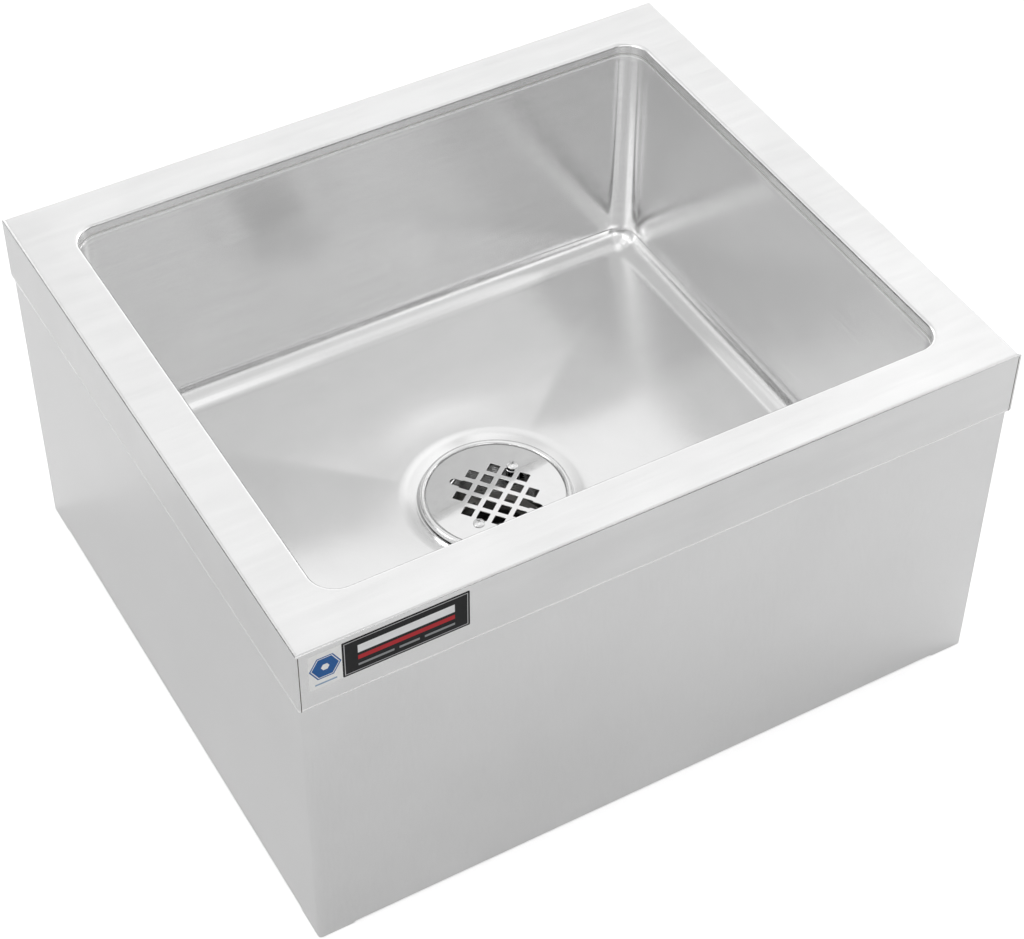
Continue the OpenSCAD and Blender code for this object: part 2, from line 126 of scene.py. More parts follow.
class SinkSheetSettings(bpy.types.PropertyGroup):
    """Sizes of the folded rim, the bowl and the skirt"""

    thickness: length_prop("Sheet", "Thickness of the steel sheet", SHEET)
    half_w: length_prop("Half width", "Half of the width along the front", DECK_HIGH.x)
    half_d: length_prop("Half depth", "Half of the depth from front to back", DECK_HIGH.y)
    top: length_prop("Height", "Height of the rim above the ground", DECK_HIGH.z)
    apron: length_prop("Apron", "Height of the apron folded down round the rim", DECK_HIGH.z - DECK_LOW.z)
    fold_r: length_prop("Rim fold", "Outside radius of the fold into the apron", 2.4 * MM)
    roll_r: length_prop("Mouth roll", "Outside radius of the roll into the bowl", 3.2 * MM)
    lip: length_prop("Lip", "Height of the lip turned down into the bowl", 9 * MM)
    seam: length_prop("Seam gap", "Root gap of the welded seams", 0.6 * MM)
    mouth_sag: length_prop("Mouth sag", "How far the rim sinks towards the mouth before its roll", 0.16 * MM)
    bowl_x: length_prop("Bowl half width", "Half of the bowl's inner width", BOWL_HIGH.x - SHEET)
    bowl_y: length_prop("Bowl half depth", "Half of the bowl's inner depth", BOWL_HIGH.y - SHEET)
    bowl_top: length_prop("Bowl edge", "Height of the bowl's welded edge", BOWL_HIGH.z)
    cove_r: length_prop("Cove", "Radius of the coved corners", 19 * MM)
    floor_z: length_prop("Floor edge", "Height of the floor where it leaves the coves", 101.6 * MM)
    fall: length_prop("Fall", "Fall of the floor to its middle", 17 * MM)
    press: length_prop("Press lines", "Depth of the faint press lines in the coves", 0.1 * MM)
    ridge: length_prop("Weld ridges", "Height of the ridges left by grinding the bowl's weld", 0.1 * MM)
    crease: length_prop("Crease", "Half width over which a floor crease is rounded", 3.5 * MM)
    blend: length_prop("Floor blend", "Radius within which the floor's planes run into one cone", 118 * MM)
    skirt_r: length_prop("Skirt bend", "Outside radius of the skirt's upright bends", 3 * MM)
    foot_w: length_prop("Foot", "Width of the foot turned in at the ground", 25.4 * MM)
    foot_r: length_prop("Foot fold", "Outside radius of the fold above the foot", 2.5 * MM)
    relief: length_prop("Foot relief", "How far the feet stop short of the corners", 28 * MM)
    flange_w: length_prop("Panel flange", "Width of the back panel's upright flanges", 20 * MM)
    edge_r: length_prop("Edge break", "Width of the broken edges of cut sheet", 0.22 * MM)


class SinkDrainSettings(bpy.types.PropertyGroup):
    """Sizes of the drain, its nuts and the strainer"""

    dish_z: length_prop("Dish", "Height of the flat bottom of the dish", BOWL_LOW.z + SHEET)
    dish_r: length_prop("Dish foot", "Radius of the dish at the foot of its side", 60.4 * MM)
    dish_edge: length_prop("Dish edge", "Radius at which the dish meets the floor", 72 * MM)
    dish_round: length_prop("Dish rounding", "Rounding of the dish's edge", 4 * MM)
    hole_r: length_prop("Drain hole", "Radius of the hole in the dish", 43.2 * MM)
    flange_z: length_prop("Flange", "Height of the flange's underside", 87.4 * MM)
    ledge_z: length_prop("Ledge", "Height of the ledge that carries the strainer", STRAINER_LOW.z)
    roll_mid_r: length_prop("Rolled rim", "Radius of the middle of the rolled rim", 57 * MM)
    roll_r: length_prop("Roll", "Radius of the rolled rim's section", 2.4 * MM)
    shank_r: length_prop("Shank", "Outside radius of the threaded shank", 42 * MM)
    throat_r: length_prop("Throat", "Radius of the throat", 38 * MM)
    lead: length_prop("Lead-in", "Height of the cone that leads into the throat", 4 * MM)
    collar_r: length_prop("Collar", "Radius of the collar for the waste pipe", 30.5 * MM)
    collar_h: length_prop("Collar height", "Height of that collar", 6 * MM)
    thread: length_prop("Thread pitch", "Pitch of the drain's threads", 2.2 * MM)
    thread_depth: length_prop("Thread depth", "Depth of the drain's threads", 0.7 * MM)
    lug_r: length_prop("Lug", "Radius of the lugs for the strainer's screws", 6 * MM)
    lug_h: length_prop("Lug height", "Height of those lugs", 16 * MM)
    screw_reach: length_prop("Screw reach", "Distance of a screw from the middle", 33.6 * MM)
    screw_d: length_prop("Screw", "Diameter of the screws", 4.8 * MM)
    head_d: length_prop("Screw head", "Diameter of a screw's head", 9.2 * MM)
    head_h: length_prop("Screw head height", "Height of a screw's head", 2.4 * MM)
    plate_r: length_prop("Strainer", "Radius of the strainer plate", STRAINER_HIGH.x)
    plate_t: length_prop("Plate thickness", "Thickness of the plate", STRAINER_HIGH.z - STRAINER_LOW.z)
    pitch: length_prop("Hole pitch", "Distance between the holes of the grid", 12.6 * MM)
    hole: length_prop("Hole side", "Side of a square hole", 8.6 * MM)
    hole_round: length_prop("Hole rounding", "Radius of a hole's corners", 0.6 * MM)
    slot_w: length_prop("Slot", "Width of a screw slot", 6.6 * MM)
    slot_reach: length_prop("Slot reach", "Distance of a slot's round end from the middle", 35.2 * MM)
    turn: angle_prop("Turn", "Turn of the grid and its screws", 38)


class SinkFinishSettings(bpy.types.PropertyGroup):
    """Colours and finishes"""

    satin: colour_prop("Satin steel", "Colour of the satin stainless sheet", "E6E6E6")
    satin_rough: factor_prop("Satin roughness", "Roughness of the satin rim and skirt", 0.25)
    bowl_satin: colour_prop("Bowl steel", "Colour of the drawn and polished bowl", "E7E7E7")
    bowl_rough: factor_prop("Bowl roughness", "Roughness of the bowl, which is drawn smoother", 0.19)
    polished: colour_prop("Polished steel", "Colour of the polished drain and strainer", "E4E4E4")
    mill: colour_prop("Mill steel", "Colour of the undressed gusset plates", "AEAEAC")
    weld: colour_prop("Weld", "Colour of the weld metal", "77746F")
    weld_heat: colour_prop("Weld heat", "Colour of the weld metal where heat tinted it", "5C5246")
    ground_weld: colour_prop("Ground weld", "Colour of the bowl's weld, ground and polished", "E4E4E3")
    ground_heat: colour_prop("Ground weld, dull", "Colour of the duller parts of that weld", "D2D1CF")
    brass: colour_prop("Cast brass", "Colour of the locknut", "B59554")
    brass_hollow: colour_prop("Cast brass, hollows", "Colour of the locknut's hollows", "7D6236")
    flashed: colour_prop("Nickel flash", "Colour of the compression nut, worn nickel on brass", "C6C5C1")
    flashed_hollow: colour_prop("Nickel flash, hollows", "Colour of the compression nut's hollows", "9C9A95")
    rubber: colour_prop("Rubber", "Colour of the seals and washers", "1B1B1C")
    bloom: colour_prop("Rubber bloom", "Colour of the dusty bloom on the rubber", "3A3A3B")
    pad: colour_prop("Damping pad", "Colour of the damping pads", "2B2B2E")
    fibre: colour_prop("Fibre", "Colour of the friction ring", "9A7450")
    fibre_dark: colour_prop("Fibre, dark", "Colour of the darker fibres of that ring", "7A5838")


class SinkStageSettings(bpy.types.PropertyGroup):
    """Camera, floor and light"""

    eye: FloatVectorProperty(
        name="Camera", description="Place of the camera", default=(-0.669764, -1.175034, 1.483675),
        size=3, subtype="TRANSLATION",
    )
    azimuth: angle_prop("Azimuth", "Turn of the camera about the upright axis", -28.9096)
    elevation: angle_prop("Elevation", "Angle of the camera above the horizon", 45.0642)
    roll: angle_prop("Roll", "Roll of the camera", -0.417)
    lens: FloatProperty(
        name="Lens", description="Focal length on a 36 mm wide sensor",
        default=FOCAL_LENGTH / PHOTO_WIDTH * SENSOR_WIDTH, subtype="DISTANCE_CAMERA",
    )
    world: factor_prop("World", "Strength of the even light all round", 0.57)
    studio: factor_prop("Studio in steel", "Brightness of the studio's walls as the steel sees them", 0.81)
    horizon: factor_prop("Horizon in steel", "Brightness of the walls' foot as a share of the rest", 2.0, 4.0)
    paper: length_prop("Paper", "Side of the white paper on the floor", 16.0, high=20.0)
    paper_glow: factor_prop("Paper glow", "Light added to the paper for the camera", 0.42)


# ---------------------------------------------------------------- nodes


def add(tree, kind, inputs=(), output=0, **settings):
    """Adds a node, sets its properties and fills its inputs, given in order or by name: a socket is linked,
    and any other value is set. Returns the output asked for, or the node itself where output is None."""
    node = tree.nodes.new(kind)
    for key, value in settings.items():
        setattr(node, key, value)
    for key, value in inputs.items() if isinstance(inputs, dict) else enumerate(inputs):
        if isinstance(value, bpy.types.NodeSocket):
            tree.links.new(value, node.inputs[key])
        else:
            node.inputs[key].default_value = value
    return node if output is None else node.outputs[output]


def new_material(name):
    """A material with an empty tree: (material, tree, Object coordinates)."""
    material = bpy.data.materials.new(name)
    material.use_nodes = True
    material.node_tree.nodes.clear()
    return material, material.node_tree, add(material.node_tree, "ShaderNodeTexCoord", output="Object")


def end_material(tree, colour, roughness, normal, others=METAL):
    """Ends a material's tree in its Principled shader."""
    inputs = {"Base Color": colour, "Roughness": roughness, "Normal": normal, **others}
    shader = add(tree, "ShaderNodeBsdfPrincipled", inputs)
    add(tree, "ShaderNodeOutputMaterial", (shader,), output=None)


def grain(tree, coords, size, detail=2.0, rough=0.5, turn=(0, 0, 0)):
    """Noise whose lumps are about size metres across, given as one number or as (x, y, z)."""
    size = size if isinstance(size, tuple) else (size,) * 3
    place = add(tree, "ShaderNodeMapping", {"Vector": coords, "Rotation": turn, "Scale": size},
                vector_type="TEXTURE")
    return add(tree, "ShaderNodeTexNoise",
               {"Vector": place, "Scale": 1.0, "Detail": detail, "Roughness": rough})


def spread(tree, noise, low, high):
    """Values from low to high over the range that noise mostly fills."""
    return add(tree, "ShaderNodeMapRange", (noise, 0.3, 0.7, low, high))


def tinted(tree, colour, noise, amount):
    """The colour made darker and lighter by amount."""
    scale = spread(tree, noise, 1 - amount, 1 + amount)
    return add(tree, "ShaderNodeVectorMath", {0: colour, "Scale": scale}, operation="SCALE")


# ---------------------------------------------------------------- materials


def satin_stainless(name, colour, roughness, brush, wave_depth, tint=0.03, smear=0.0, band=None, edges=()):
    """Stainless steel sheet with a satin mill finish: an even grey sheen, faint streaks of the rolling and
    polishing along brush, and slow waves of the thin sheet that bend its reflections. smear is the share of
    level polishing lines, which draw reflections out upwards. band = (low, high) are the heights of a strip
    that was ground after welding and shows coarser strokes. edges are the heights of edges dressed by hand or
    pressed in, which show as soft, slightly wavy light lines."""
    material, tree, coords = new_material(name)
    cloud = grain(tree, coords, 70 * MM, 3.0, 0.55)
    streak = grain(tree, coords, brush)
    speck = grain(tree, coords, 0.8 * MM, 1.0)
    mixed = add(tree, "ShaderNodeMix", {0: 0.45, 2: cloud, 3: streak}, data_type="FLOAT")
    colour = tinted(tree, tinted(tree, colour, mixed, tint), speck, 0.02)
    rough = add(tree, "ShaderNodeMath", (mixed, 0.06, roughness - 0.03), operation="MULTIPLY_ADD")
    wave = grain(tree, coords, (150 * MM, 150 * MM, 190 * MM), 1.0)
    normal = add(tree, "ShaderNodeBump", {"Height": wave, "Distance": wave_depth})
    height = add(tree, "ShaderNodeSeparateXYZ", (coords,), output=2)
    others = dict(METAL)
    if smear:
        others["Anisotropic"] = smear
        others["Tangent"] = add(tree, "ShaderNodeCombineXYZ", (0.0, 0.0, 1.0))
    else:
        normal = add(tree, "ShaderNodeBump", {"Height": speck, "Distance": 0.004 * MM, "Normal": normal})
    for edge in edges:
        wander = grain(tree, coords, (45 * MM, 45 * MM, 400 * MM), 1.0)
        above = add(tree, "ShaderNodeMath", (height, edge), operation="SUBTRACT")
        above = add(tree, "ShaderNodeMath", (wander, -2.2 * MM, above), operation="MULTIPLY_ADD")
        rolled = add(tree, "ShaderNodeMapRange", (above, -0.5 * MM, 0.6 * MM, 1.0, 0.0),
                     interpolation_type="SMOOTHSTEP")
        normal = add(tree, "ShaderNodeBump", {"Height": rolled, "Distance": 1.9 * MM, "Normal": normal})
    if band:
        low, high = band
        over = add(tree, "ShaderNodeMapRange", (height, low, low + 3 * MM, 0.0, 1.0),
                   interpolation_type="SMOOTHSTEP")
        under = add(tree, "ShaderNodeMapRange", (height, high - 1 * MM, high, 1.0, 0.0),
                    interpolation_type="SMOOTHSTEP")
        inside = add(tree, "ShaderNodeMath", (over, under), operation="MULTIPLY")
        strokes = grain(tree, coords, (1.5 * MM, 50 * MM, 12 * MM), 2.0, 0.6, turn=(0, math.radians(38), 0))
        strokes = add(tree, "ShaderNodeMath", (strokes, inside), operation="MULTIPLY")
        normal = add(tree, "ShaderNodeBump", {"Height": strokes, "Distance": 0.14 * MM, "Normal": normal})
        rough = add(tree, "ShaderNodeMath", (inside, 0.04, rough), operation="MULTIPLY_ADD")
    end_material(tree, colour, rough, normal, others)
    return material


def polished_stainless(name, colour, rough, true=True):
    """Stainless steel buffed to a near mirror: clear reflections with a thin haze of fine buffing marks. A
    plate that isn't true is drawn down by its screws: it leans back a little and is slightly twisted."""
    material, tree, coords = new_material(name)
    haze = grain(tree, coords, 9 * MM, 3.0, 0.6)
    fine = grain(tree, coords, 1.1 * MM)
    normal = add(tree, "ShaderNodeBump", {"Height": fine, "Distance": 0.0015 * MM})
    if not true:
        lean, twist = -0.0276, 0.187  # slope from front to back, and its change per metre across
        x, y, _ = add(tree, "ShaderNodeSeparateXYZ", (coords,), output=None).outputs
        slope = add(tree, "ShaderNodeMath", (x, twist, lean), operation="MULTIPLY_ADD")
        height = add(tree, "ShaderNodeMath", (y, slope), operation="MULTIPLY")
        normal = add(tree, "ShaderNodeBump", {"Height": height, "Distance": 1.0, "Normal": normal})
    end_material(tree, tinted(tree, colour, haze, 0.02), spread(tree, haze, rough * 0.7, rough * 1.6), normal)
    return material


def dressed_weld(name, colour, heat_tint):
    """TIG weld metal, brushed and left: dull, a little darker than the sheet and warm in places."""
    material, tree, coords = new_material(name)
    heat = grain(tree, coords, 7 * MM)
    mix = add(tree, "ShaderNodeMix", {0: heat, 6: (*colour, 1), 7: (*heat_tint, 1)}, 2, data_type="RGBA")
    fine = grain(tree, coords, 0.5 * MM)
    normal = add(tree, "ShaderNodeBump", {"Height": fine, "Distance": 0.03 * MM})
    end_material(tree, mix, spread(tree, heat, 0.36, 0.52), normal)
    return material


def mill_stainless(name, colour):
    """Hot-rolled plate as it comes: dull grey with cloudy pickling marks."""
    material, tree, coords = new_material(name)
    cloud = grain(tree, coords, 18 * MM, 4.0, 0.6)
    fine = grain(tree, coords, 0.7 * MM)
    normal = add(tree, "ShaderNodeBump", {"Height": fine, "Distance": 0.02 * MM})
    end_material(tree, tinted(tree, colour, cloud, 0.1), spread(tree, cloud, 0.38, 0.55), normal)
    return material


def cast_brass(name, colour, hollow):
    """Sand-cast brass, tumbled: dull yellow, browner in the hollows, with the fine pits of the sand."""
    material, tree, coords = new_material(name)
    cloud = grain(tree, coords, 10 * MM, 4.0, 0.6)
    sand = grain(tree, coords, 0.6 * MM)
    worn = spread(tree, cloud, 0.0, 0.7)
    mix = add(tree, "ShaderNodeMix", {0: worn, 6: (*colour, 1), 7: (*hollow, 1)}, 2, data_type="RGBA")
    normal = add(tree, "ShaderNodeBump", {"Height": sand, "Distance": 0.05 * MM})
    end_material(tree, mix, spread(tree, cloud, 0.34, 0.5), normal)
    return material


def moulded_rubber(name, colour, bloom_colour):
    """Moulded EPDM rubber: near black, matt, with a dusty bloom and the fine tooth of the mould."""
    material, tree, coords = new_material(name)
    bloom = grain(tree, coords, 12 * MM, 3.0)
    dust = spread(tree, bloom, 0.0, 0.4)
    mix = add(tree, "ShaderNodeMix", {0: dust, 6: (*colour, 1), 7: (*bloom_colour, 1)}, 2, data_type="RGBA")
    tooth = grain(tree, coords, 0.4 * MM)
    normal = add(tree, "ShaderNodeBump", {"Height": tooth, "Distance": 0.02 * MM})
    end_material(tree, mix, spread(tree, bloom, 0.55, 0.72), normal, {"IOR": 1.5})
    return material


def damping_mastic(name, colour):
    """Filled bitumen damping sheet: black, matt, pressed with a small diamond emboss by the rollers."""
    material, tree, coords = new_material(name)
    pitch = 4  # millimetres between ridges: a wave texture repeats every 2 pi / (20 * scale)
    ridges = []
    for angle in (math.radians(45), math.radians(-45)):
        inputs = {"Vector": coords, "Rotation": (0, 0, angle), "Scale": (MM, MM, MM)}
        place = add(tree, "ShaderNodeMapping", inputs, vector_type="TEXTURE")
        inputs = {"Vector": place, "Scale": 2 * math.pi / 20 / pitch}
        ridges.append(add(tree, "ShaderNodeTexWave", inputs, "Fac", wave_type="BANDS", bands_direction="X",
                          wave_profile="SIN"))
    emboss = add(tree, "ShaderNodeMath", ridges, operation="MINIMUM")
    grit = grain(tree, coords, 0.8 * MM)
    normal = add(tree, "ShaderNodeBump", {"Height": emboss, "Distance": 0.6 * MM})
    normal = add(tree, "ShaderNodeBump", {"Height": grit, "Distance": 0.05 * MM, "Normal": normal})
    end_material(tree, tinted(tree, colour, grit, 0.2), 0.68, normal, {})
    return material


def pressed_fibre(name, colour, dark):
    """Vulcanised fibre: tan, matt, with short flattened fibres lying every way in the sheet."""
    material, tree, coords = new_material(name)
    fibres = grain(tree, coords, (2.2 * MM, 0.5 * MM, 0.5 * MM), 4.0, 0.7)
    share = spread(tree, fibres, 0.0, 1.0)
    mix = add(tree, "ShaderNodeMix", {0: share, 6: (*colour, 1), 7: (*dark, 1)}, 2, data_type="RGBA")
    end_material(tree, mix, 0.62, add(tree, "ShaderNodeBump", {"Height": fibres, "Distance": 0.02 * MM}), {})
    return material


def inside_box(tree, coords, low, high):
    """1 inside a rectangle on the front face, given as (x, z) corners, and 0 outside it."""
    places = add(tree, "ShaderNodeSeparateXYZ", (coords,), output=None).outputs
    inside = 1.0
    for axis, start, end in ((0, low[0], high[0]), (2, low[1], high[1])):
        half = (end - start) / 2
        off = add(tree, "ShaderNodeMath", (places[axis], (start + end) / 2), operation="SUBTRACT")
        off = add(tree, "ShaderNodeMath", (off,), operation="ABSOLUTE")
        within = add(tree, "ShaderNodeMapRange", (off, half - INK_EDGE, half + INK_EDGE, 1.0, 0.0))
        inside = add(tree, "ShaderNodeMath", (inside, within), operation="MULTIPLY")
    return inside


def printed_film(name, base, marks):
    """Printed vinyl film under a clear gloss: flat inks with crisp edges, and the faint orange peel of the
    varnish. marks is a list of (function that makes a mask, hex colour), laid over the base in turn."""
    material, tree, coords = new_material(name)
    colour = (*linear(base), 1)
    for mask, ink in marks:
        inputs = {0: mask(tree, coords), 6: colour, 7: (*linear(ink), 1)}
        colour = add(tree, "ShaderNodeMix", inputs, 2, data_type="RGBA")
    mottle = grain(tree, coords, 4 * MM)
    normal = add(tree, "ShaderNodeBump", {"Height": mottle, "Distance": 0.01 * MM})
    end_material(tree, tinted(tree, colour, mottle, 0.03), spread(tree, mottle, 0.42, 0.5), normal,
                 {"IOR": 1.45, "Specular IOR Level": 0.25})
    return material


def plate_film():
    """Black plate with a thin pale inset border, a broad pale bar, a red bar and a row of grey dashes."""
    low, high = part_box("front_plate")
    w, h = high.x - low.x, high.z - low.z

    def border(tree, coords):
        outer, inner = (
            inside_box(tree, coords, (low.x + inset, low.z + inset), (high.x - inset, high.z - inset))
            for inset in (1.3 * MM, 1.8 * MM)
        )
        return add(tree, "ShaderNodeMath", (outer, inner), operation="SUBTRACT")

    def bar(x0, x1, z0, z1):
        return lambda tree, coords: inside_box(
            tree, coords, (low.x + x0 * w, low.z + z0 * h), (low.x + x1 * w, low.z + z1 * h)
        )

    dashes = [(bar(x0, x1, 0.18, 0.24), "8E9092") for x0, x1 in ((0.12, 0.40), (0.44, 0.60), (0.64, 0.88))]
    bars = [(bar(0.12, 0.88, 0.56, 0.78), "E9E9EA"), (bar(0.12, 0.88, 0.36, 0.48), "B5222B")]
    return printed_film("printed_black_film", "121214", [(border, "C9C9CB"), *bars, *dashes])


def tag_film():
    """White tag with a plain blue hexagon, ringed and with a hole, and a pale bar below it."""
    low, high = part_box("front_tag")
    middle = ((low.x + high.x) / 2, 0, (low.z + high.z) / 2 + 1.8 * MM)
    white, blue = "F2F2F1", "1F5C9E"

    def hexagon(half):
        def mask(tree, coords):
            off = add(tree, "ShaderNodeVectorMath", (coords, middle), operation="SUBTRACT")
            off = add(tree, "ShaderNodeVectorMath", (off,), operation="ABSOLUTE")
            dx, _, dz = add(tree, "ShaderNodeSeparateXYZ", (off,), output=None).outputs
            slanted = add(tree, "ShaderNodeMath", (dx, math.sqrt(0.75)), operation="MULTIPLY")
            slanted = add(tree, "ShaderNodeMath", (dz, 0.5, slanted), operation="MULTIPLY_ADD")
            reach = add(tree, "ShaderNodeMath", (slanted, dz), operation="MAXIMUM")
            return add(tree, "ShaderNodeMapRange", (reach, half - INK_EDGE, half + INK_EDGE, 1.0, 0.0))
        return mask

    def foot_bar(tree, coords):
        start, end = (low.x + 4 * MM, low.z + 2.8 * MM), (high.x - 4 * MM, low.z + 4.2 * MM)
        return inside_box(tree, coords, start, end)

    rings = ((9.8, blue), (8.9, white), (8.3, blue), (2.6, white))
    marks = [(hexagon(half * MM), ink) for half, ink in rings]
    return printed_film("printed_white_film", white, [*marks, (foot_bar, "8FA9C4")])


# ---------------------------------------------------------------- mesh helpers


def edit_mesh(mesh, work):
    """Runs work on a bmesh of the mesh and writes the result back."""
    bm = bmesh.new()
    bm.from_mesh(mesh)
    work(bm)
    bm.to_mesh(mesh)
    bm.free()


def new_object(name, mesh):
    obj = bpy.data.objects.new(name, mesh)
    bpy.context.scene.collection.objects.link(obj)
    return obj


def piece_from(name, verts, faces, merge=0.002 * MM):
    """A new object with this mesh. Points that fall together are merged."""
    mesh = bpy.data.meshes.new(name)
    mesh.from_pydata(verts, [], faces)

    def clean(bm):
        if merge:
            bmesh.ops.remove_doubles(bm, verts=bm.verts, dist=merge)
            bmesh.ops.dissolve_degenerate(bm, dist=merge / 2, edges=bm.edges)
        bmesh.ops.delete(bm, geom=[v for v in bm.verts if not v.link_faces], context="VERTS")

    edit_mesh(mesh, clean)
    return new_object(name, mesh)


def grid_faces(rows, columns, close_rows=False, close_columns=True, flip=False, skip=None):
    """Quads between rows of points. skip(row, column) leaves a quad out."""
    faces = []
    for i in range(rows if close_rows else rows - 1):
        for j in range(columns if close_columns else columns - 1):
            if skip and skip(i, j):
                continue
            a, b = i * columns + j, i * columns + (j + 1) % columns
            c, d = ((i + 1) % rows) * columns + (j + 1) % columns, ((i + 1) % rows) * columns + j
            faces.append((a, d, c, b) if flip else (a, b, c, d))
    return faces


def loft(name, rows, merge=0.002 * MM, **grid):
    """A new object of quads between closed rows of points."""
    verts = [p for row in rows for p in row]
    return piece_from(name, verts, grid_faces(len(rows), len(rows[0]), **grid), merge)


def outward(obj):
    """Turns the faces of a closed mesh outwards."""
    edit_mesh(obj.data, lambda bm: bmesh.ops.recalc_face_normals(bm, faces=bm.faces))


def settle(obj):
    """Applies what modifiers an object has."""
    graph = bpy.context.evaluated_depsgraph_get()
    graph.update()
    done = bpy.data.meshes.new_from_object(
        obj.evaluated_get(graph), preserve_all_data_layers=True, depsgraph=graph
    )
    old = obj.data
    obj.modifiers.clear()
    obj.data = done
    done.name = old.name
    bpy.data.meshes.remove(old)


def soften(obj, sharp=32):
    """Smooth shading that breaks at edges sharper than an angle in degrees, with big flats kept flat."""

    def mark(bm):
        for face in bm.faces:
            face.smooth = True
        for edge in bm.edges:
            edge.smooth = len(edge.link_faces) == 2 and edge.calc_face_angle(0) < math.radians(sharp)

    edit_mesh(obj.data, mark)
    weights = obj.modifiers.new("Flat faces lead", "WEIGHTED_NORMAL")
    weights.mode = "FACE_AREA"
    weights.keep_sharp = True
    weights.weight = 100
    settle(obj)


def thicken(obj, thickness):
    """Gives a sheet its thickness behind its show face."""
    sheet = obj.modifiers.new("Sheet", "SOLIDIFY")
    sheet.thickness = thickness
    sheet.offset = -1.0
    sheet.use_even_offset = True
    settle(obj)


def break_edges(obj, width, segments=2, angle=50):
    """Rounds the sharp edges."""
    edge = obj.modifiers.new("Broken edges", "BEVEL")
    edge.width = width
    edge.segments = segments
    edge.limit_method = "ANGLE"
    edge.angle_limit = math.radians(angle)
    settle(obj)


def finish_piece(obj, material, body, slot, *nodes):
    """Gives a finished piece its material, and hangs it on its body in place of CAD nodes."""
    obj.data.materials.clear()
    obj.data.materials.append(material)
    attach(obj, body)
    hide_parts(*nodes)


def packed_copy(name, node):
    """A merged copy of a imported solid's mesh."""
    obj = new_object(name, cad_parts[node].data.copy())
    obj.data.materials.clear()

    def merge(bm):
        bmesh.ops.remove_doubles(bm, verts=bm.verts, dist=0.002 * MM)
        bmesh.ops.dissolve_limit(bm, angle_limit=math.radians(0.5), verts=bm.verts, edges=bm.edges)
        for layer in list(bm.loops.layers.uv):
            bm.loops.layers.uv.remove(layer)

    edit_mesh(obj.data, merge)
    for layer in ("custom_normal", "sharp_face"):
        found = obj.data.attributes.get(layer)
        if found:
            obj.data.attributes.remove(found)
    return obj


def circle(r, z, steps):
    """Points on a level circle about the Z axis."""
    angles = [2 * math.pi * k / steps for k in range(steps)]
    return [(r * math.cos(a), r * math.sin(a), z) for a in angles]


def arc(cx, cy, r, start, end, steps):
    """Points on an arc, angles in degrees, both ends included."""
    angles = [math.radians(start + (end - start) * i / steps) for i in range(steps + 1)]
    return [(cx + r * math.cos(a), cy + r * math.sin(a)) for a in angles]


def ring_of_corners(cx, cy, reach_at, marks, sides=SIDE_STEPS):
    """Points round a rectangle with shaped corners, counter-clockwise from +X. The corners' centres lie cx
    and cy from the middle. reach_at(m), the same at m and 90 - m, is the distance from such a centre to the
    ring at m degrees round the corner. marks are the angles of the first corner's points, mirrored in the
    next, and sides the steps along a long and a short side."""
    points = []
    for k, (sx, sy) in enumerate(CORNERS):
        for m in marks if k % 2 == 0 else [90 - m for m in reversed(marks)]:
            a = math.radians(90 * k + m)
            points.append((sx * cx + reach_at(m) * math.cos(a), sy * cy + reach_at(m) * math.sin(a)))
        # On along the side, to just before the next corner
        (x, y), (nx, ny), a = points[-1], CORNERS[(k + 1) % 4], math.radians(90 * (k + 1))
        dx, dy = nx * cx + reach_at(0) * math.cos(a) - x, ny * cy + reach_at(0) * math.sin(a) - y
        steps = sides[k % 2]
        points += [(x + dx * i / steps, y + dy * i / steps) for i in range(1, steps)]
    return points


def rounded_rectangle(hx, hy, r, press=0.0, sides=SIDE_STEPS):
    """Points round a rounded rectangle. press is the depth of faint upright press lines in its corners."""

    def reach_at(m):
        return r - press * math.sin(math.radians(2 * m)) ** 2 * (1 + math.cos(math.radians(12 * m))) / 2

    return ring_of_corners(hx - r, hy - r, reach_at, [90 * i / 24 for i in range(25)], sides)


# ---------------------------------------------------------------- rim


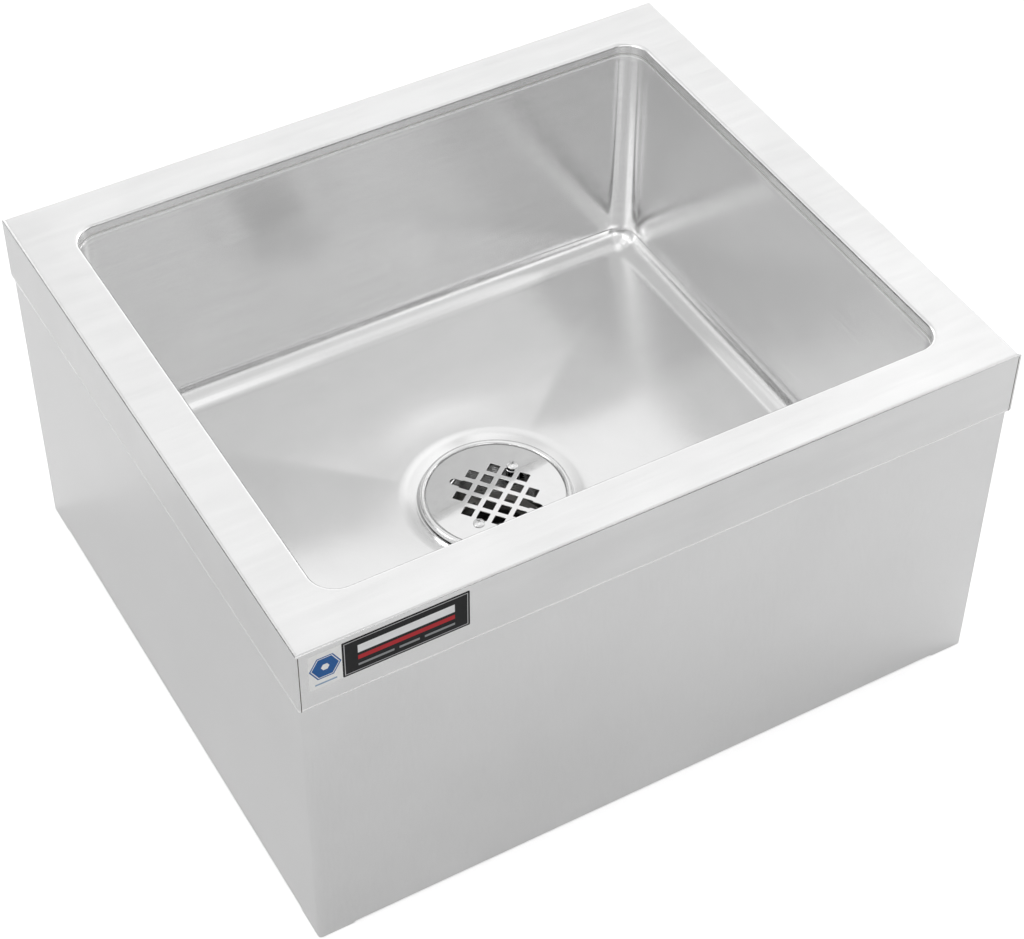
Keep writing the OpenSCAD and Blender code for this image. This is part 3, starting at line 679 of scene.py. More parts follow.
def rim_sheet(s):
    """The show face of the rim as rows of points round the mouth: lip, mouth roll, flat, fold and apron. Also
    says which columns lie on an edge of an apron's open seam, and which row the aprons start at."""
    reach = s.half_w - s.bowl_x + s.cove_r
    # The seams are in the front and back aprons, just inside the side aprons' sheet
    seams = [90 - math.degrees(math.atan((reach - d) / reach)) for d in (s.thickness, s.thickness + s.seam)]
    marks = sorted([90 * i / 16 for i in range(17)] + seams)
    cx, cy = s.bowl_x - s.cove_r, s.bowl_y - s.cove_r

    def mouth(grow=0.0):
        """A ring outside the mouth by grow."""
        return ring_of_corners(cx, cy, lambda m: s.cove_r + grow, marks)

    def outline(inset=0.0):
        """The outer rectangle, drawn in by inset."""

        def reach_at(m):
            return (reach - inset) / max(math.cos(math.radians(m)), math.sin(math.radians(m)))

        return ring_of_corners(cx, cy, reach_at, marks)

    rows = []
    top, roll, fold = s.top, s.roll_r, s.fold_r

    def row(points, z):
        rows.append([(x, y, z) for x, y in points])

    for z in (top - s.lip, top - s.lip * 0.6, top - roll - 0.5 * MM):
        row(mouth(), z)
    quarter = [math.radians(90 * i / 8) for i in range(9)]
    for a in quarter:
        row(mouth(roll * (1 - math.cos(a))), top - s.mouth_sag - roll + roll * math.sin(a))
    span = reach - s.cove_r - roll - fold
    for d in (0.8 * MM, 3 * MM, 6 * MM, 9 * MM, 13 * MM, 20 * MM, 28 * MM, span - 0.8 * MM):
        t, ends = d / span, zip(mouth(roll), outline(fold))
        flat = [(a[0] + (b[0] - a[0]) * t, a[1] + (b[1] - a[1]) * t) for a, b in ends]
        row(flat, top - s.mouth_sag * (1 - smoothstep(d / (13 * MM))))
    for a in quarter:
        row(outline(fold * (1 - math.sin(a))), top - fold + fold * math.cos(a))
    first_apron = len(rows) - 1
    for z in (top - fold - 0.8 * MM, top - 18 * MM, top - 36 * MM, top - s.apron):
        row(outline(), z)
    seamed = []
    for k in range(4):
        corner = [m in seams for m in marks]
        seamed += (corner if k % 2 == 0 else corner[::-1]) + [False] * (SIDE_STEPS[k % 2] - 1)
    return rows, seamed, first_apron


def build_rim(s, finish):
    rows, seamed, first_apron = rim_sheet(s)
    # The seam at each end of the front and back aprons is open: its quads are left out
    open_seams = [j for j in range(len(seamed)) if seamed[j] and seamed[(j + 1) % len(seamed)]]
    obj = loft("folded_rim", rows, 0.02 * MM, flip=True,
               skip=lambda i, j: i >= first_apron and j in open_seams)
    thicken(obj, s.thickness)
    break_edges(obj, s.edge_r)
    soften(obj)
    steel = satin_stainless("satin_stainless_rim", finish.satin, finish.satin_rough,
                            (90 * MM, 9 * MM, 12 * MM), 0.4 * MM, tint=0.05, edges=(s.top - s.apron,))
    finish_piece(obj, steel, "cabinet", "satin_sheet", "rim_deck")


# ---------------------------------------------------------------- bowl


def floor_height(s, x, y):
    """Height of the creased floor. Its creases are rounded, and near the dish its planes run into a cone."""
    cone_share, cone_width = 0.876, 0.34  # fall of the cone over the planes', width of the change to it
    a = s.fall * abs(x) / (s.bowl_x - s.cove_r)
    b = s.fall * abs(y) / (s.bowl_y - s.cove_r)
    k = s.crease * s.fall / (s.bowl_x - s.cove_r)
    rise, gap = max(a, b), abs(a - b)
    if gap < 2 * k:
        rise += (2 * k - gap) ** 2 / (16 * k)
    r = math.hypot(x, y)
    cone = cone_share * s.fall * r / ((s.bowl_x + s.bowl_y) / 2 - s.cove_r)
    rise += (cone - rise) * smoothstep((s.blend - r) / (s.blend * cone_width))
    return s.floor_z - s.fall + min(rise, s.fall)


def bowl_sheet(s, d):
    """The inner face of the bowl from its top edge to the drain hole, as rows of points round it."""
    rows = []

    def ring(inset, z, press=1.0):
        hx, hy, r = s.bowl_x - inset, s.bowl_y - inset, max(s.cove_r - inset, 0)
        rows.append([(x, y, z) for x, y in rounded_rectangle(hx, hy, r, s.press * press)])

    wall_foot = s.floor_z + s.cove_r
    # Two low ridges under the seam are left by the grinding of the weld: (millimetres down, share of a ridge)
    for drop, ridge in ((0, 0), (0.5, 0), (1.3, 1), (2.1, 0), (3.0, -0.4), (4.2, 0.9), (5.4, 0), (7.0, 0)):
        ring(ridge * s.ridge, s.bowl_top - drop * MM, drop / 7)
    for t in (0.1, 0.2, 0.32, 0.45, 0.58, 0.7, 0.8, 0.88, 0.95, 0.99):
        ring(0, s.bowl_top + (wall_foot - s.bowl_top) * t)
    # The cove, with a faint press line along its lower half
    for i in range(25):
        a = math.radians(90 * i / 24)
        line = s.press * math.exp(-(((i - 17) / 1.2) ** 2))
        ring((s.cove_r - line) * (1 - math.cos(a)) + line, wall_foot - (s.cove_r - line) * math.sin(a),
             math.cos(a) ** 2)
    edge = rows[-1]
    # Lines run from the floor's edge straight to the dish, whose side is a cone
    slope = math.atan2(floor_height(s, d.dish_edge, 0) - d.dish_z, d.dish_edge - d.dish_r)

    def dish_height(r):
        return d.dish_z + (r - d.dish_r) * math.tan(slope)

    def floor_at(r, a):
        return floor_height(s, r * math.cos(a), r * math.sin(a))

    meets = []
    for x, y, _ in edge:
        a = math.atan2(y, x)
        low, high = d.dish_r, d.dish_edge + 8 * MM
        for _ in range(40):
            r = (low + high) / 2
            if dish_height(r) < floor_at(r, a):
                low = r
            else:
                high = r
        meets.append((r, a))
    soft = d.dish_round
    for t in (0.004, 0.02, 0.06, 0.12, 0.2, 0.3, 0.4, 0.5, 0.6, 0.7, 0.8, 0.88, 0.95, 1.0):
        points = []
        for (x, y, _), (r, a) in zip(edge, meets):
            x += ((r + soft) * math.cos(a) - x) * t
            y += ((r + soft) * math.sin(a) - y) * t
            points.append((x, y, floor_height(s, x, y)))
        rows.append(points)
    # The dish's edge, as a short curve between the floor and the side
    for i in range(1, 7):
        t = i / 6
        points = []
        for r, a in meets:
            start, corner = (r + soft, floor_at(r + soft, a)), (r, dish_height(r))
            end = (r - soft * math.cos(slope), dish_height(r - soft * math.cos(slope)))
            out, z = ((1 - t) ** 2 * start[n] + 2 * t * (1 - t) * corner[n] + t * t * end[n] for n in (0, 1))
            points.append((out * math.cos(a), out * math.sin(a), z))
        rows.append(points)
    # The rounded foot of the side and the flat bottom: (radius, height over the bottom)
    foot = d.dish_r + 1.4 * MM
    for r, z in ((foot, dish_height(foot) - d.dish_z), (d.dish_r + 0.6 * MM, 0.48 * MM),
                 (d.dish_r - 0.2 * MM, 0.12 * MM), (d.dish_r - 1.2 * MM, 0), (d.dish_r - 6 * MM, 0),
                 (d.hole_r + 5 * MM, 0), (d.hole_r + 0.5 * MM, 0), (d.hole_r, 0)):
        rows.append([(r * math.cos(a), r * math.sin(a), d.dish_z + z) for _, a in meets])
    return rows


def build_bowl(s, d, finish):
    # Faces look into the bowl, and the sheet lies behind them
    obj = loft("coved_bowl", bowl_sheet(s, d), 0.02 * MM)
    thicken(obj, s.thickness)
    break_edges(obj, s.edge_r, angle=60)
    soften(obj, sharp=28)
    steel = satin_stainless("satin_stainless_bowl", finish.bowl_satin, finish.bowl_rough,
                            (60 * MM, 60 * MM, 2.5 * MM), 0.5 * MM, smear=0.5,
                            band=(s.bowl_top - 7 * MM, s.bowl_top + 4 * MM),
                            edges=(s.bowl_top - 3.2 * MM, s.floor_z + s.cove_r - 5.5 * MM))
    finish_piece(obj, steel, "cabinet", "satin_sheet", "bowl")


# ---------------------------------------------------------------- skirt


def build_wall(name, half, middle, s, steel, node):
    """A sheet wall that follows a path of points (x, y, inward x, inward y, foot), given up to its middle
    point and mirrored from there. Between points marked foot, a foot is folded in below it."""
    path = half + [middle] + [(-x, y, -ix, iy, foot) for x, y, ix, iy, foot in reversed(half)]
    footed = [a[4] and b[4] for a, b in zip(path, path[1:])]
    columns, r, top = len(path), s.foot_r, SKIRT_HIGH.z
    levels = [top, top - 40 * MM, top * 0.55, 60 * MM, 20 * MM, r + 0.8 * MM, r]
    verts = [(x, y, z) for z in levels for x, y, *_ in path]
    faces = grid_faces(len(levels), columns, close_columns=False, flip=True)
    # How far in and how high the rows under the wall lie: a fold and a foot, or a plain edge
    fold = [(r + x, r + z) for x, z in arc(0, 0, r, 195, 270, 5)]
    fold += [(r + 0.8 * MM, 0), (s.foot_w * 0.6, 0), (s.foot_w, 0)]
    j = 0
    while j < columns - 1:
        k = j
        while k < columns - 1 and footed[k] == footed[j]:
            k += 1
        run = range(j, k + 1)
        above = [(len(levels) - 1) * columns + c for c in run]
        for inward, z in fold if footed[j] else [(0, r / 2), (0, 0)]:
            here = list(range(len(verts), len(verts) + len(run)))
            verts += [(path[c][0] + path[c][2] * inward, path[c][1] + path[c][3] * inward, z) for c in run]
            faces += [(above[n], here[n], here[n + 1], above[n + 1]) for n in range(len(run) - 1)]
            above = here
        j = k
    obj = piece_from(name, verts, faces, merge=0)
    thicken(obj, s.thickness)
    break_edges(obj, s.edge_r)
    soften(obj)
    finish_piece(obj, steel, "cabinet", "satin_sheet", node)


def build_skirt(s, finish):
    steel = satin_stainless("satin_stainless_skirt", finish.satin, finish.satin_rough,
                            (1.6 * MM, 1.6 * MM, 14 * MM), 0.5 * MM)
    x, y, r, relief, near = SKIRT_HIGH.x, SKIRT_HIGH.y, s.skirt_r, s.relief, 0.8 * MM
    half = [(-x, y, 1, 0, False)]
    half += [(-x, v, 1, 0, True) for v in (y - relief, y * 0.4, 0, -y * 0.4, -y + relief)]
    half += [(-x, -y + r + near, 1, 0, False)]
    half += [(px, py, (-x + r - px) / r, (-y + r - py) / r, False)
             for px, py in arc(-x + r, -y + r, r, 180, 270, 10)]
    half += [(-x + r + near, -y, 0, 1, False), (-x + relief, -y, 0, 1, True), (-x * 0.5, -y, 0, 1, True)]
    build_wall("skirt", half, (0, -y, 0, 1, True), s, steel, "skirt_wrap")
    bx = PANEL_HIGH.x
    half = [(bx, y - s.flange_w, -1, 0, False), (bx, y, -1, -1, False),
            (x - relief, y, 0, -1, True), (x * 0.5, y, 0, -1, True)]
    build_wall("rear_panel", half, (0, y, 0, -1, True), s, steel, "back_panel")


def build_underside(finish):
    """The gusset plates between the feet, and the damping pads under the bowl."""
    mill = mill_stainless("mill_stainless", finish.mill)
    mastic = damping_mastic("embossed_damping_mastic", finish.pad)
    for name, node, width, material, slot in (
        ("gusset_plates", "corner_gussets", 0.3 * MM, mill, "mill_sheet"),
        ("damping_pads", "sound_pads", 0.5 * MM, mastic, "damping_pad"),
    ):
        obj = packed_copy(name, node)
        break_edges(obj, width, angle=40)
        soften(obj)
        finish_piece(obj, material, "cabinet", slot, node)


# ---------------------------------------------------------------- welds


def node_group(name, sockets):
    """A Geometry Nodes tree with these inputs besides its geometry and its material: (tree, its inputs)."""
    tree = bpy.data.node_groups.new(name, "GeometryNodeTree")
    tree.interface.new_socket("Geometry", in_out="INPUT", socket_type="NodeSocketGeometry")
    for label, value in sockets:
        kind = "NodeSocketInt" if isinstance(value, int) else "NodeSocketFloat"
        tree.interface.new_socket(label, in_out="INPUT", socket_type=kind).default_value = value
    tree.interface.new_socket("Material", in_out="INPUT", socket_type="NodeSocketMaterial")
    tree.interface.new_socket("Geometry", in_out="OUTPUT", socket_type="NodeSocketGeometry")
    return tree, add(tree, "NodeGroupInput", output=None).outputs


def end_group(tree, geometry, material):
    """Ends a Geometry Nodes tree."""
    real = add(tree, "GeometryNodeRealizeInstances", (geometry,))
    finished = add(tree, "GeometryNodeSetMaterial", {"Geometry": real, "Material": material})
    add(tree, "NodeGroupOutput", (finished,), output=None)
    return tree


def run_tree(obj, tree, values):
    """Runs a Geometry Nodes tree on an object with named values, and keeps its result as a plain mesh."""
    modifier = obj.modifiers.new(tree.name, "NODES")
    modifier.node_group = tree
    names = {i.name: i.identifier for i in tree.interface.items_tree if i.in_out == "INPUT"}
    for key, value in values.items():
        modifier[names[key]] = value
    settle(obj)


def weld_ripple_tree():
    """Lays overlapping ripples of weld metal on the points of each seam line."""
    tree, get = node_group(
        "Weld ripples", [("Step", 1.0 * MM), ("Width", 0.78 * MM), ("Depth", 0.9 * MM), ("Seed", 4)]
    )
    line = add(tree, "GeometryNodeMeshToCurve", (get["Geometry"],))
    points = add(tree, "GeometryNodeResampleCurve", {"Curve": line, "Length": get["Step"]}, mode="LENGTH")
    ball = add(tree, "GeometryNodeMeshUVSphere", {"Segments": 10, "Rings": 6, "Radius": 0.5})
    ball = add(tree, "GeometryNodeSetShadeSmooth", (ball,))
    inputs = {2: 0.86, 3: 1.14, "Seed": get["Seed"]}
    wobble = add(tree, "FunctionNodeRandomValue", inputs, output=1, data_type="FLOAT")
    length = add(tree, "ShaderNodeMath", (get["Step"], 1.9), operation="MULTIPLY")
    size = add(tree, "ShaderNodeCombineXYZ", (get["Width"], get["Depth"], length))
    size = add(tree, "ShaderNodeVectorMath", {0: size, "Scale": wobble}, operation="SCALE")
    ripples = add(tree, "GeometryNodeInstanceOnPoints", {"Points": points, "Instance": ball, "Scale": size})
    return end_group(tree, ripples, get["Material"])


def build_corner_welds(s, finish):
    """The weld beads that close the seams of the front and back aprons."""
    material = dressed_weld("dressed_weld", finish.weld, finish.weld_heat)
    low, high = s.top - s.apron, s.top - s.fold_r
    places = [(sx * (s.half_w - s.thickness - s.seam / 2), sy * (s.half_d - s.thickness / 2))
              for sx in (-1, 1) for sy in (-1, 1)]
    mesh = bpy.data.meshes.new("apron_weld_beads")
    mesh.from_pydata([(x, y, z) for x, y in places for z in (low + 0.5 * MM, high)],
                     [(2 * k, 2 * k + 1) for k in range(len(places))], [])
    beads = new_object("apron_weld_beads", mesh)
    run_tree(beads, weld_ripple_tree(),
             {"Step": 1.0 * MM, "Width": 0.78 * MM, "Depth": 0.9 * MM, "Seed": 4, "Material": material})
    # The metal behind the ripples, and the nib at the foot of each bead
    root = packed_copy("weld_roots", "apron_corner_welds")

    def join(bm):
        bm.from_mesh(root.data)
        nib = Matrix.Diagonal((0.8 * MM, 0.74 * MM, 0.85 * MM, 1))
        for x, y in places:
            made = bmesh.ops.create_uvsphere(bm, u_segments=16, v_segments=10, radius=1.0,
                                             matrix=Matrix.Translation((x, y, low + 0.35 * MM)) @ nib)
            for face in {f for v in made["verts"] for f in v.link_faces}:
                face.smooth = True

    edit_mesh(beads.data, join)
    bpy.data.objects.remove(root)
    finish_piece(beads, material, "cabinet", "weld_metal", "apron_corner_welds")


def build_seam_weld(s, finish):
    """The weld between the lip and the bowl: dressed nearly flush inside, left rippled behind the wall."""
    sides, rows = (300, 260), []
    low, high = s.bowl_top, s.bowl_top + s.seam
    base = rounded_rectangle(s.bowl_x, s.bowl_y, s.cove_r, sides=sides)

    def ring(grow, z, ripple=0.0, wander=0.0):
        points = rounded_rectangle(s.bowl_x + grow, s.bowl_y + grow, s.cove_r + grow, sides=sides)
        row = []
        for i, (x, y) in enumerate(points):
            out = Vector((x - base[i][0], y - base[i][1])).normalized()
            push = (ripple * (0.5 - 0.5 * math.cos(2 * math.pi * i / 3))
                    + wander * math.sin(i * 0.37) * math.sin(i * 0.071))
            row.append((x + out.x * push, y + out.y * push, z))
        rows.append(row)

    ring(0.4 * MM, low - 0.6 * MM)
    ring(-0.01 * MM, low - 0.55 * MM, wander=0.01 * MM)
    ring(-0.04 * MM, low - 0.15 * MM, wander=0.02 * MM)
    ring(-0.04 * MM, high + 0.15 * MM, wander=0.02 * MM)
    ring(-0.01 * MM, high + 0.55 * MM, wander=0.01 * MM)
    ring(0.4 * MM, high + 0.6 * MM)
    ring(s.thickness - 0.4 * MM, high)
    ring(s.thickness + 0.5 * MM, high - 0.08 * MM, ripple=-0.12 * MM)
    ring(s.thickness + 0.7 * MM, low + s.seam * 0.5, ripple=-0.25 * MM)
    ring(s.thickness + 0.5 * MM, low + 0.08 * MM, ripple=-0.12 * MM)
    ring(s.thickness - 0.4 * MM, low)
    obj = loft("bowl_weld_bead", rows, 0, close_rows=True)
    outward(obj)
    soften(obj, sharp=50)
    material = dressed_weld("dressed_bowl_weld", finish.ground_weld, finish.ground_heat)
    finish_piece(obj, material, "cabinet", "weld_metal", "bowl_seam_weld")


# ---------------------------------------------------------------- drain


def threaded_wall(radius, low, high, pitch, depth, steps):
    """Rows of points of a threaded wall between two heights. The thread fades out at both ends."""
    rows = []
    count = max(2, int((high - low) / pitch * 6))
    for j in range(count + 1):
        z = low + (high - low) * j / count
        fade = smoothstep(min(z - low, high - z) / (1.5 * pitch))
        row = []
        for k in range(steps):
            cut = abs(2 * ((z / pitch + k / steps) % 1.0) - 1)
            r, a = radius - depth * cut * fade, 2 * math.pi * k / steps
            row.append((r * math.cos(a), r * math.sin(a), z))
        rows.append(row)
    return rows


def add_lug(bm, d, a):
    """A lug for a strainer's screw at angle a, sunk in the throat's wall."""
    steps, bore = 40, d.screw_d / 2 + 0.05 * MM
    low, high = d.ledge_z - d.lug_h, d.ledge_z
    profile = [(bore + 0.35 * MM, high), (d.lug_r - 0.4 * MM, high), (d.lug_r, high - 0.4 * MM),
               (d.lug_r, low + 0.8 * MM), (d.lug_r - 0.8 * MM, low), (bore + 0.3 * MM, low),
               (bore, low + 0.3 * MM), (bore, high - 0.35 * MM)]
    limit = (d.throat_r + d.shank_r) / 2 - 0.3 * MM
    verts = []
    for row in (circle(r, z, steps) for r, z in profile):
        for x, y, z in row:
            x, y = x + d.screw_reach * math.cos(a), y + d.screw_reach * math.sin(a)
            inward = min(1.0, limit / math.hypot(x, y))
            verts.append(bm.verts.new((x * inward, y * inward, z)))
    for face in grid_faces(len(profile), steps, close_rows=True):
        bm.faces.new([verts[n] for n in face])


def build_drain_body(d, finish):
    steps, foot = 144, DRAIN_LOW.z
    seat = d.roll_mid_r - d.roll_r
    lead_r = d.throat_r + d.lead
    brim = d.roll_mid_r + d.roll_r
    flange = [(d.shank_r, d.flange_z), (d.roll_mid_r, d.flange_z), (brim - 0.4 * MM, d.flange_z),
              (brim, d.flange_z + 0.4 * MM)]
    flange += arc(d.roll_mid_r, d.ledge_z + d.plate_t / 2, d.roll_r, 0, 180, 16)
    ledge = [(seat, d.ledge_z + 0.25 * MM), (seat - 0.25 * MM, d.ledge_z), (seat - 1 * MM, d.ledge_z),
             (seat - 5 * MM, d.ledge_z), (lead_r + 1 * MM, d.ledge_z)]
    ledge += arc(lead_r + 0.2 * MM, d.ledge_z - 0.9 * MM, 0.9 * MM, 90, 140, 4)
    ledge += [(d.throat_r + 0.3 * MM, d.ledge_z - d.lead + 0.3 * MM)]
    throat = threaded_wall(d.throat_r, foot + d.collar_h + 15 * MM, d.ledge_z - d.lead, d.thread,
                           d.thread_depth * 0.7, steps)
    collar = [(d.throat_r, foot + d.collar_h), (d.collar_r + 0.5 * MM, foot + d.collar_h),
              (d.collar_r, foot + d.collar_h - 0.5 * MM), (d.collar_r, foot + 0.8 * MM),
              (d.collar_r + 0.8 * MM, foot), (d.shank_r - 1.2 * MM, foot)]
    rows = [circle(r, z, steps) for r, z in flange + ledge] + throat[::-1]
    rows += [circle(r, z, steps) for r, z in collar]
    rows += threaded_wall(d.shank_r, foot + 1.2 * MM, d.flange_z - 5 * MM, d.thread, d.thread_depth, steps)
    obj = loft("drain_casting", rows, 0.001 * MM, close_rows=True, flip=True)

    def add_lugs(bm):
        for a in (d.turn, d.turn + math.pi):
            add_lug(bm, d, a)

    edit_mesh(obj.data, add_lugs)
    outward(obj)
    soften(obj, sharp=36)
    steel = polished_stainless("polished_stainless_drain", finish.polished, 0.09)
    finish_piece(obj, steel, "cabinet", "polished_steel", "drain_body")


def build_ring(name, node, bore, r, material, slot):
    """A turned ring as tall as its node, with its four edges rounded to radius r."""
    low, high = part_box(node)
    outer = high.x - r
    corners = ((outer, high.z - r), (bore + r, high.z - r), (bore + r, low.z + r), (outer, low.z + r))
    profile = [p for k, (x, z) in enumerate(corners) for p in arc(x, z, r, 90 * k, 90 * (k + 1), 4)]
    obj = loft(name, [circle(x, z, 128) for x, z in profile], close_rows=True)
    outward(obj)
    soften(obj, sharp=40)
    finish_piece(obj, material, "cabinet", slot, node)


def build_drain_rings(d, finish):
    rubber = moulded_rubber("moulded_epdm", finish.rubber, finish.bloom)
    fibre = pressed_fibre("vulcanised_fibre", finish.fibre, finish.fibre_dark)
    thread_r = d.shank_r + 0.1 * MM
    build_ring("flange_seal", "flange_gasket", d.hole_r, 0.2 * MM, rubber, "black_rubber")
    build_ring("rubber_washer", "under_washer", thread_r, 0.7 * MM, rubber, "black_rubber")
    build_ring("fibre_ring", "friction_ring", thread_r, 0.2 * MM, fibre, "fibre")
    low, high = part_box("pipe_seal")
    outer, bore, taper, top = high.x, d.collar_r, 1.6 * MM, high.z - 0.01 * MM
    profile = [(bore, low.z + 0.4 * MM), (bore + 0.4 * MM, low.z), (outer - 0.5 * MM, low.z),
               (outer, low.z + 0.5 * MM), (outer, high.z - taper), (outer - taper, top),
               (bore + 0.5 * MM, top), (bore, high.z - 0.5 * MM)]
    # Three shallow ribs round the bore grip the pipe
    for i in range(3):
        z = high.z - 3.2 * MM - i * 4.4 * MM
        profile += [(bore, z + 1.2 * MM), (bore + 0.5 * MM, z + 0.6 * MM), (bore + 0.5 * MM, z - 0.6 * MM),
                    (bore, z - 1.2 * MM)]
    seal = loft("pipe_gasket", [circle(r, z, 128) for r, z in profile], close_rows=True)
    outward(seal)
    break_edges(seal, 0.25 * MM, angle=35)
    soften(seal, sharp=40)
    finish_piece(seal, rubber, "cabinet", "black_rubber", "pipe_seal")
    # The nut that shows through the strainer has lost its yellow to a worn nickel flash
    brass = cast_brass("tumbled_cast_brass", finish.brass, finish.brass_hollow)
    flashed = cast_brass("nickel_flashed_brass", finish.flashed, finish.flashed_hollow)
    for name, node, metal in (
        ("lugged_locknut", "drain_locknut", brass),
        ("notched_nut", "compression_nut", flashed),
    ):
        obj = packed_copy(name, node)
        break_edges(obj, 0.6 * MM, segments=3, angle=40)
        soften(obj, sharp=30)
        finish_piece(obj, metal, "cabinet", "cast_brass", node)


# ---------------------------------------------------------------- strainer


def strainer_tree():
    """Punches a plate: a square grid of holes without its corner ones, and a slot out of each side's middle
    hole."""
    tree, get = node_group(
        "Perforated strainer",
        [("Radius", 54 * MM), ("Thickness", 1.2 * MM), ("Pitch", 12.6 * MM), ("Hole", 8.6 * MM),
         ("Hole Rounding", 0.6 * MM), ("Holes", 5), ("Slot Width", 6.6 * MM), ("Slot Reach", 35.2 * MM)],
    )
    plate = add(tree, "GeometryNodeMeshCylinder",
                {"Vertices": 160, "Radius": get["Radius"], "Depth": get["Thickness"]})
    deep = add(tree, "ShaderNodeMath", (get["Thickness"], 4.0), operation="MULTIPLY")
    # A square hole's cutter: a rounded square, filled and pulled up
    square = add(tree, "GeometryNodeCurvePrimitiveQuadrilateral",
                 {"Width": get["Hole"], "Height": get["Hole"]})
    rounded = add(tree, "GeometryNodeFilletCurve",
                  {"Curve": square, "Count": 4, "Radius": get["Hole Rounding"]}, mode="POLY")
    filled = add(tree, "GeometryNodeFillCurve", (rounded,), mode="NGONS")
    upwards = add(tree, "ShaderNodeCombineXYZ", (0.0, 0.0, 1.0))
    pulled = add(tree, "GeometryNodeExtrudeMesh",
                 {"Mesh": filled, "Offset": upwards, "Offset Scale": deep, "Individual": False}, mode="FACES")
    block = add(tree, "GeometryNodeJoinGeometry", (pulled,))
    tree.links.new(add(tree, "GeometryNodeFlipFaces", (filled,)), block.node.inputs[0])
    closed = add(tree, "GeometryNodeMergeByDistance", {"Geometry": block, "Distance": 0.0005 * MM})
    down = add(tree, "ShaderNodeMath", (deep, -0.5), operation="MULTIPLY")
    down = add(tree, "ShaderNodeCombineXYZ", (0.0, 0.0, down))
    cutter = add(tree, "GeometryNodeTransform", {"Geometry": closed, "Translation": down})
    # The grid, less its four corners
    gaps = add(tree, "ShaderNodeMath", (get["Holes"], 1.0), operation="SUBTRACT")
    side = add(tree, "ShaderNodeMath", (get["Pitch"], gaps), operation="MULTIPLY")
    half = add(tree, "ShaderNodeMath", (side, 0.5), operation="MULTIPLY")
    grid = add(tree, "GeometryNodeMeshGrid",
               {"Size X": side, "Size Y": side, "Vertices X": get["Holes"], "Vertices Y": get["Holes"]})
    edge = add(tree, "ShaderNodeMath", (get["Pitch"], -0.4, half), operation="MULTIPLY_ADD")
    off = add(tree, "ShaderNodeVectorMath", (add(tree, "GeometryNodeInputPosition"),), operation="ABSOLUTE")
    x, y, _ = add(tree, "ShaderNodeSeparateXYZ", (off,), output=None).outputs
    far_x = add(tree, "FunctionNodeCompare", (x, edge), operation="GREATER_THAN")
    far_y = add(tree, "FunctionNodeCompare", (y, edge), operation="GREATER_THAN")
    corners = add(tree, "FunctionNodeBooleanMath", (far_x, far_y), operation="AND")
    kept = add(tree, "GeometryNodeDeleteGeometry", {"Geometry": grid, "Selection": corners}, domain="POINT")
    dots = add(tree, "GeometryNodeMeshToPoints", (kept,))
    cuts = [add(tree, "GeometryNodeInstanceOnPoints", {"Points": dots, "Instance": cutter})]
    # The slots: a straight part and a round end, four times round
    run = add(tree, "ShaderNodeMath", (get["Slot Reach"], half), operation="SUBTRACT")
    bar = add(tree, "ShaderNodeCombineXYZ", (run, get["Slot Width"], deep))
    bar = add(tree, "GeometryNodeMeshCube", {"Size": bar})
    bar_x = add(tree, "ShaderNodeMath", (run, 0.5, half), operation="MULTIPLY_ADD")
    tip_r = add(tree, "ShaderNodeMath", (get["Slot Width"], 0.5), operation="MULTIPLY")
    tip = add(tree, "GeometryNodeMeshCylinder", {"Vertices": 32, "Radius": tip_r, "Depth": deep})
    index = add(tree, "GeometryNodeInputIndex")
    quarters = add(tree, "ShaderNodeMath", (index, math.pi / 2), operation="MULTIPLY")
    turn = add(tree, "ShaderNodeCombineXYZ", (0.0, 0.0, quarters))
    centre = add(tree, "ShaderNodeCombineXYZ")
    for shape, place in ((bar, bar_x), (tip, get["Slot Reach"])):
        place = add(tree, "ShaderNodeCombineXYZ", (place,))
        shape = add(tree, "GeometryNodeTransform", {"Geometry": shape, "Translation": place})
        points = add(tree, "GeometryNodeMeshLine", {"Count": 4})
        points = add(tree, "GeometryNodeSetPosition", {"Geometry": points, "Position": centre})
        cuts.append(add(tree, "GeometryNodeInstanceOnPoints",
                        {"Points": points, "Instance": shape, "Rotation": turn}))
    for cut in cuts:
        real = add(tree, "GeometryNodeRealizeInstances", (cut,))
        plate = add(tree, "GeometryNodeMeshBoolean", (plate, real), operation="DIFFERENCE", solver="EXACT")
    return end_group(tree, plate, get["Material"])


def build_strainer(d, finish):
    steel = polished_stainless("polished_stainless_strainer", finish.polished, 0.045, true=False)
    mesh = bpy.data.meshes.new("strainer_disc")
    mesh.from_pydata([(0, 0, 0)], [], [])
    obj = new_object("strainer_disc", mesh)
    run_tree(obj, strainer_tree(),
             {"Radius": d.plate_r, "Thickness": d.plate_t, "Pitch": d.pitch, "Hole": d.hole,
              "Hole Rounding": d.hole_round, "Holes": 5, "Slot Width": d.slot_w, "Slot Reach": d.slot_reach,
              "Material": steel})
    place = Matrix.Translation((0, 0, d.ledge_z + d.plate_t / 2))
    obj.data.transform(place @ Matrix.Rotation(d.turn, 4, "Z"))

    def merge(bm):
        bmesh.ops.remove_doubles(bm, verts=bm.verts, dist=0.002 * MM)
        bmesh.ops.dissolve_limit(bm, angle_limit=math.radians(1), verts=bm.verts, edges=bm.edges)

    edit_mesh(obj.data, merge)
    break_edges(obj, 0.28 * MM, segments=3, angle=60)
    soften(obj, sharp=30)
    finish_piece(obj, steel, "strainer", "polished_steel", "strainer_plate")


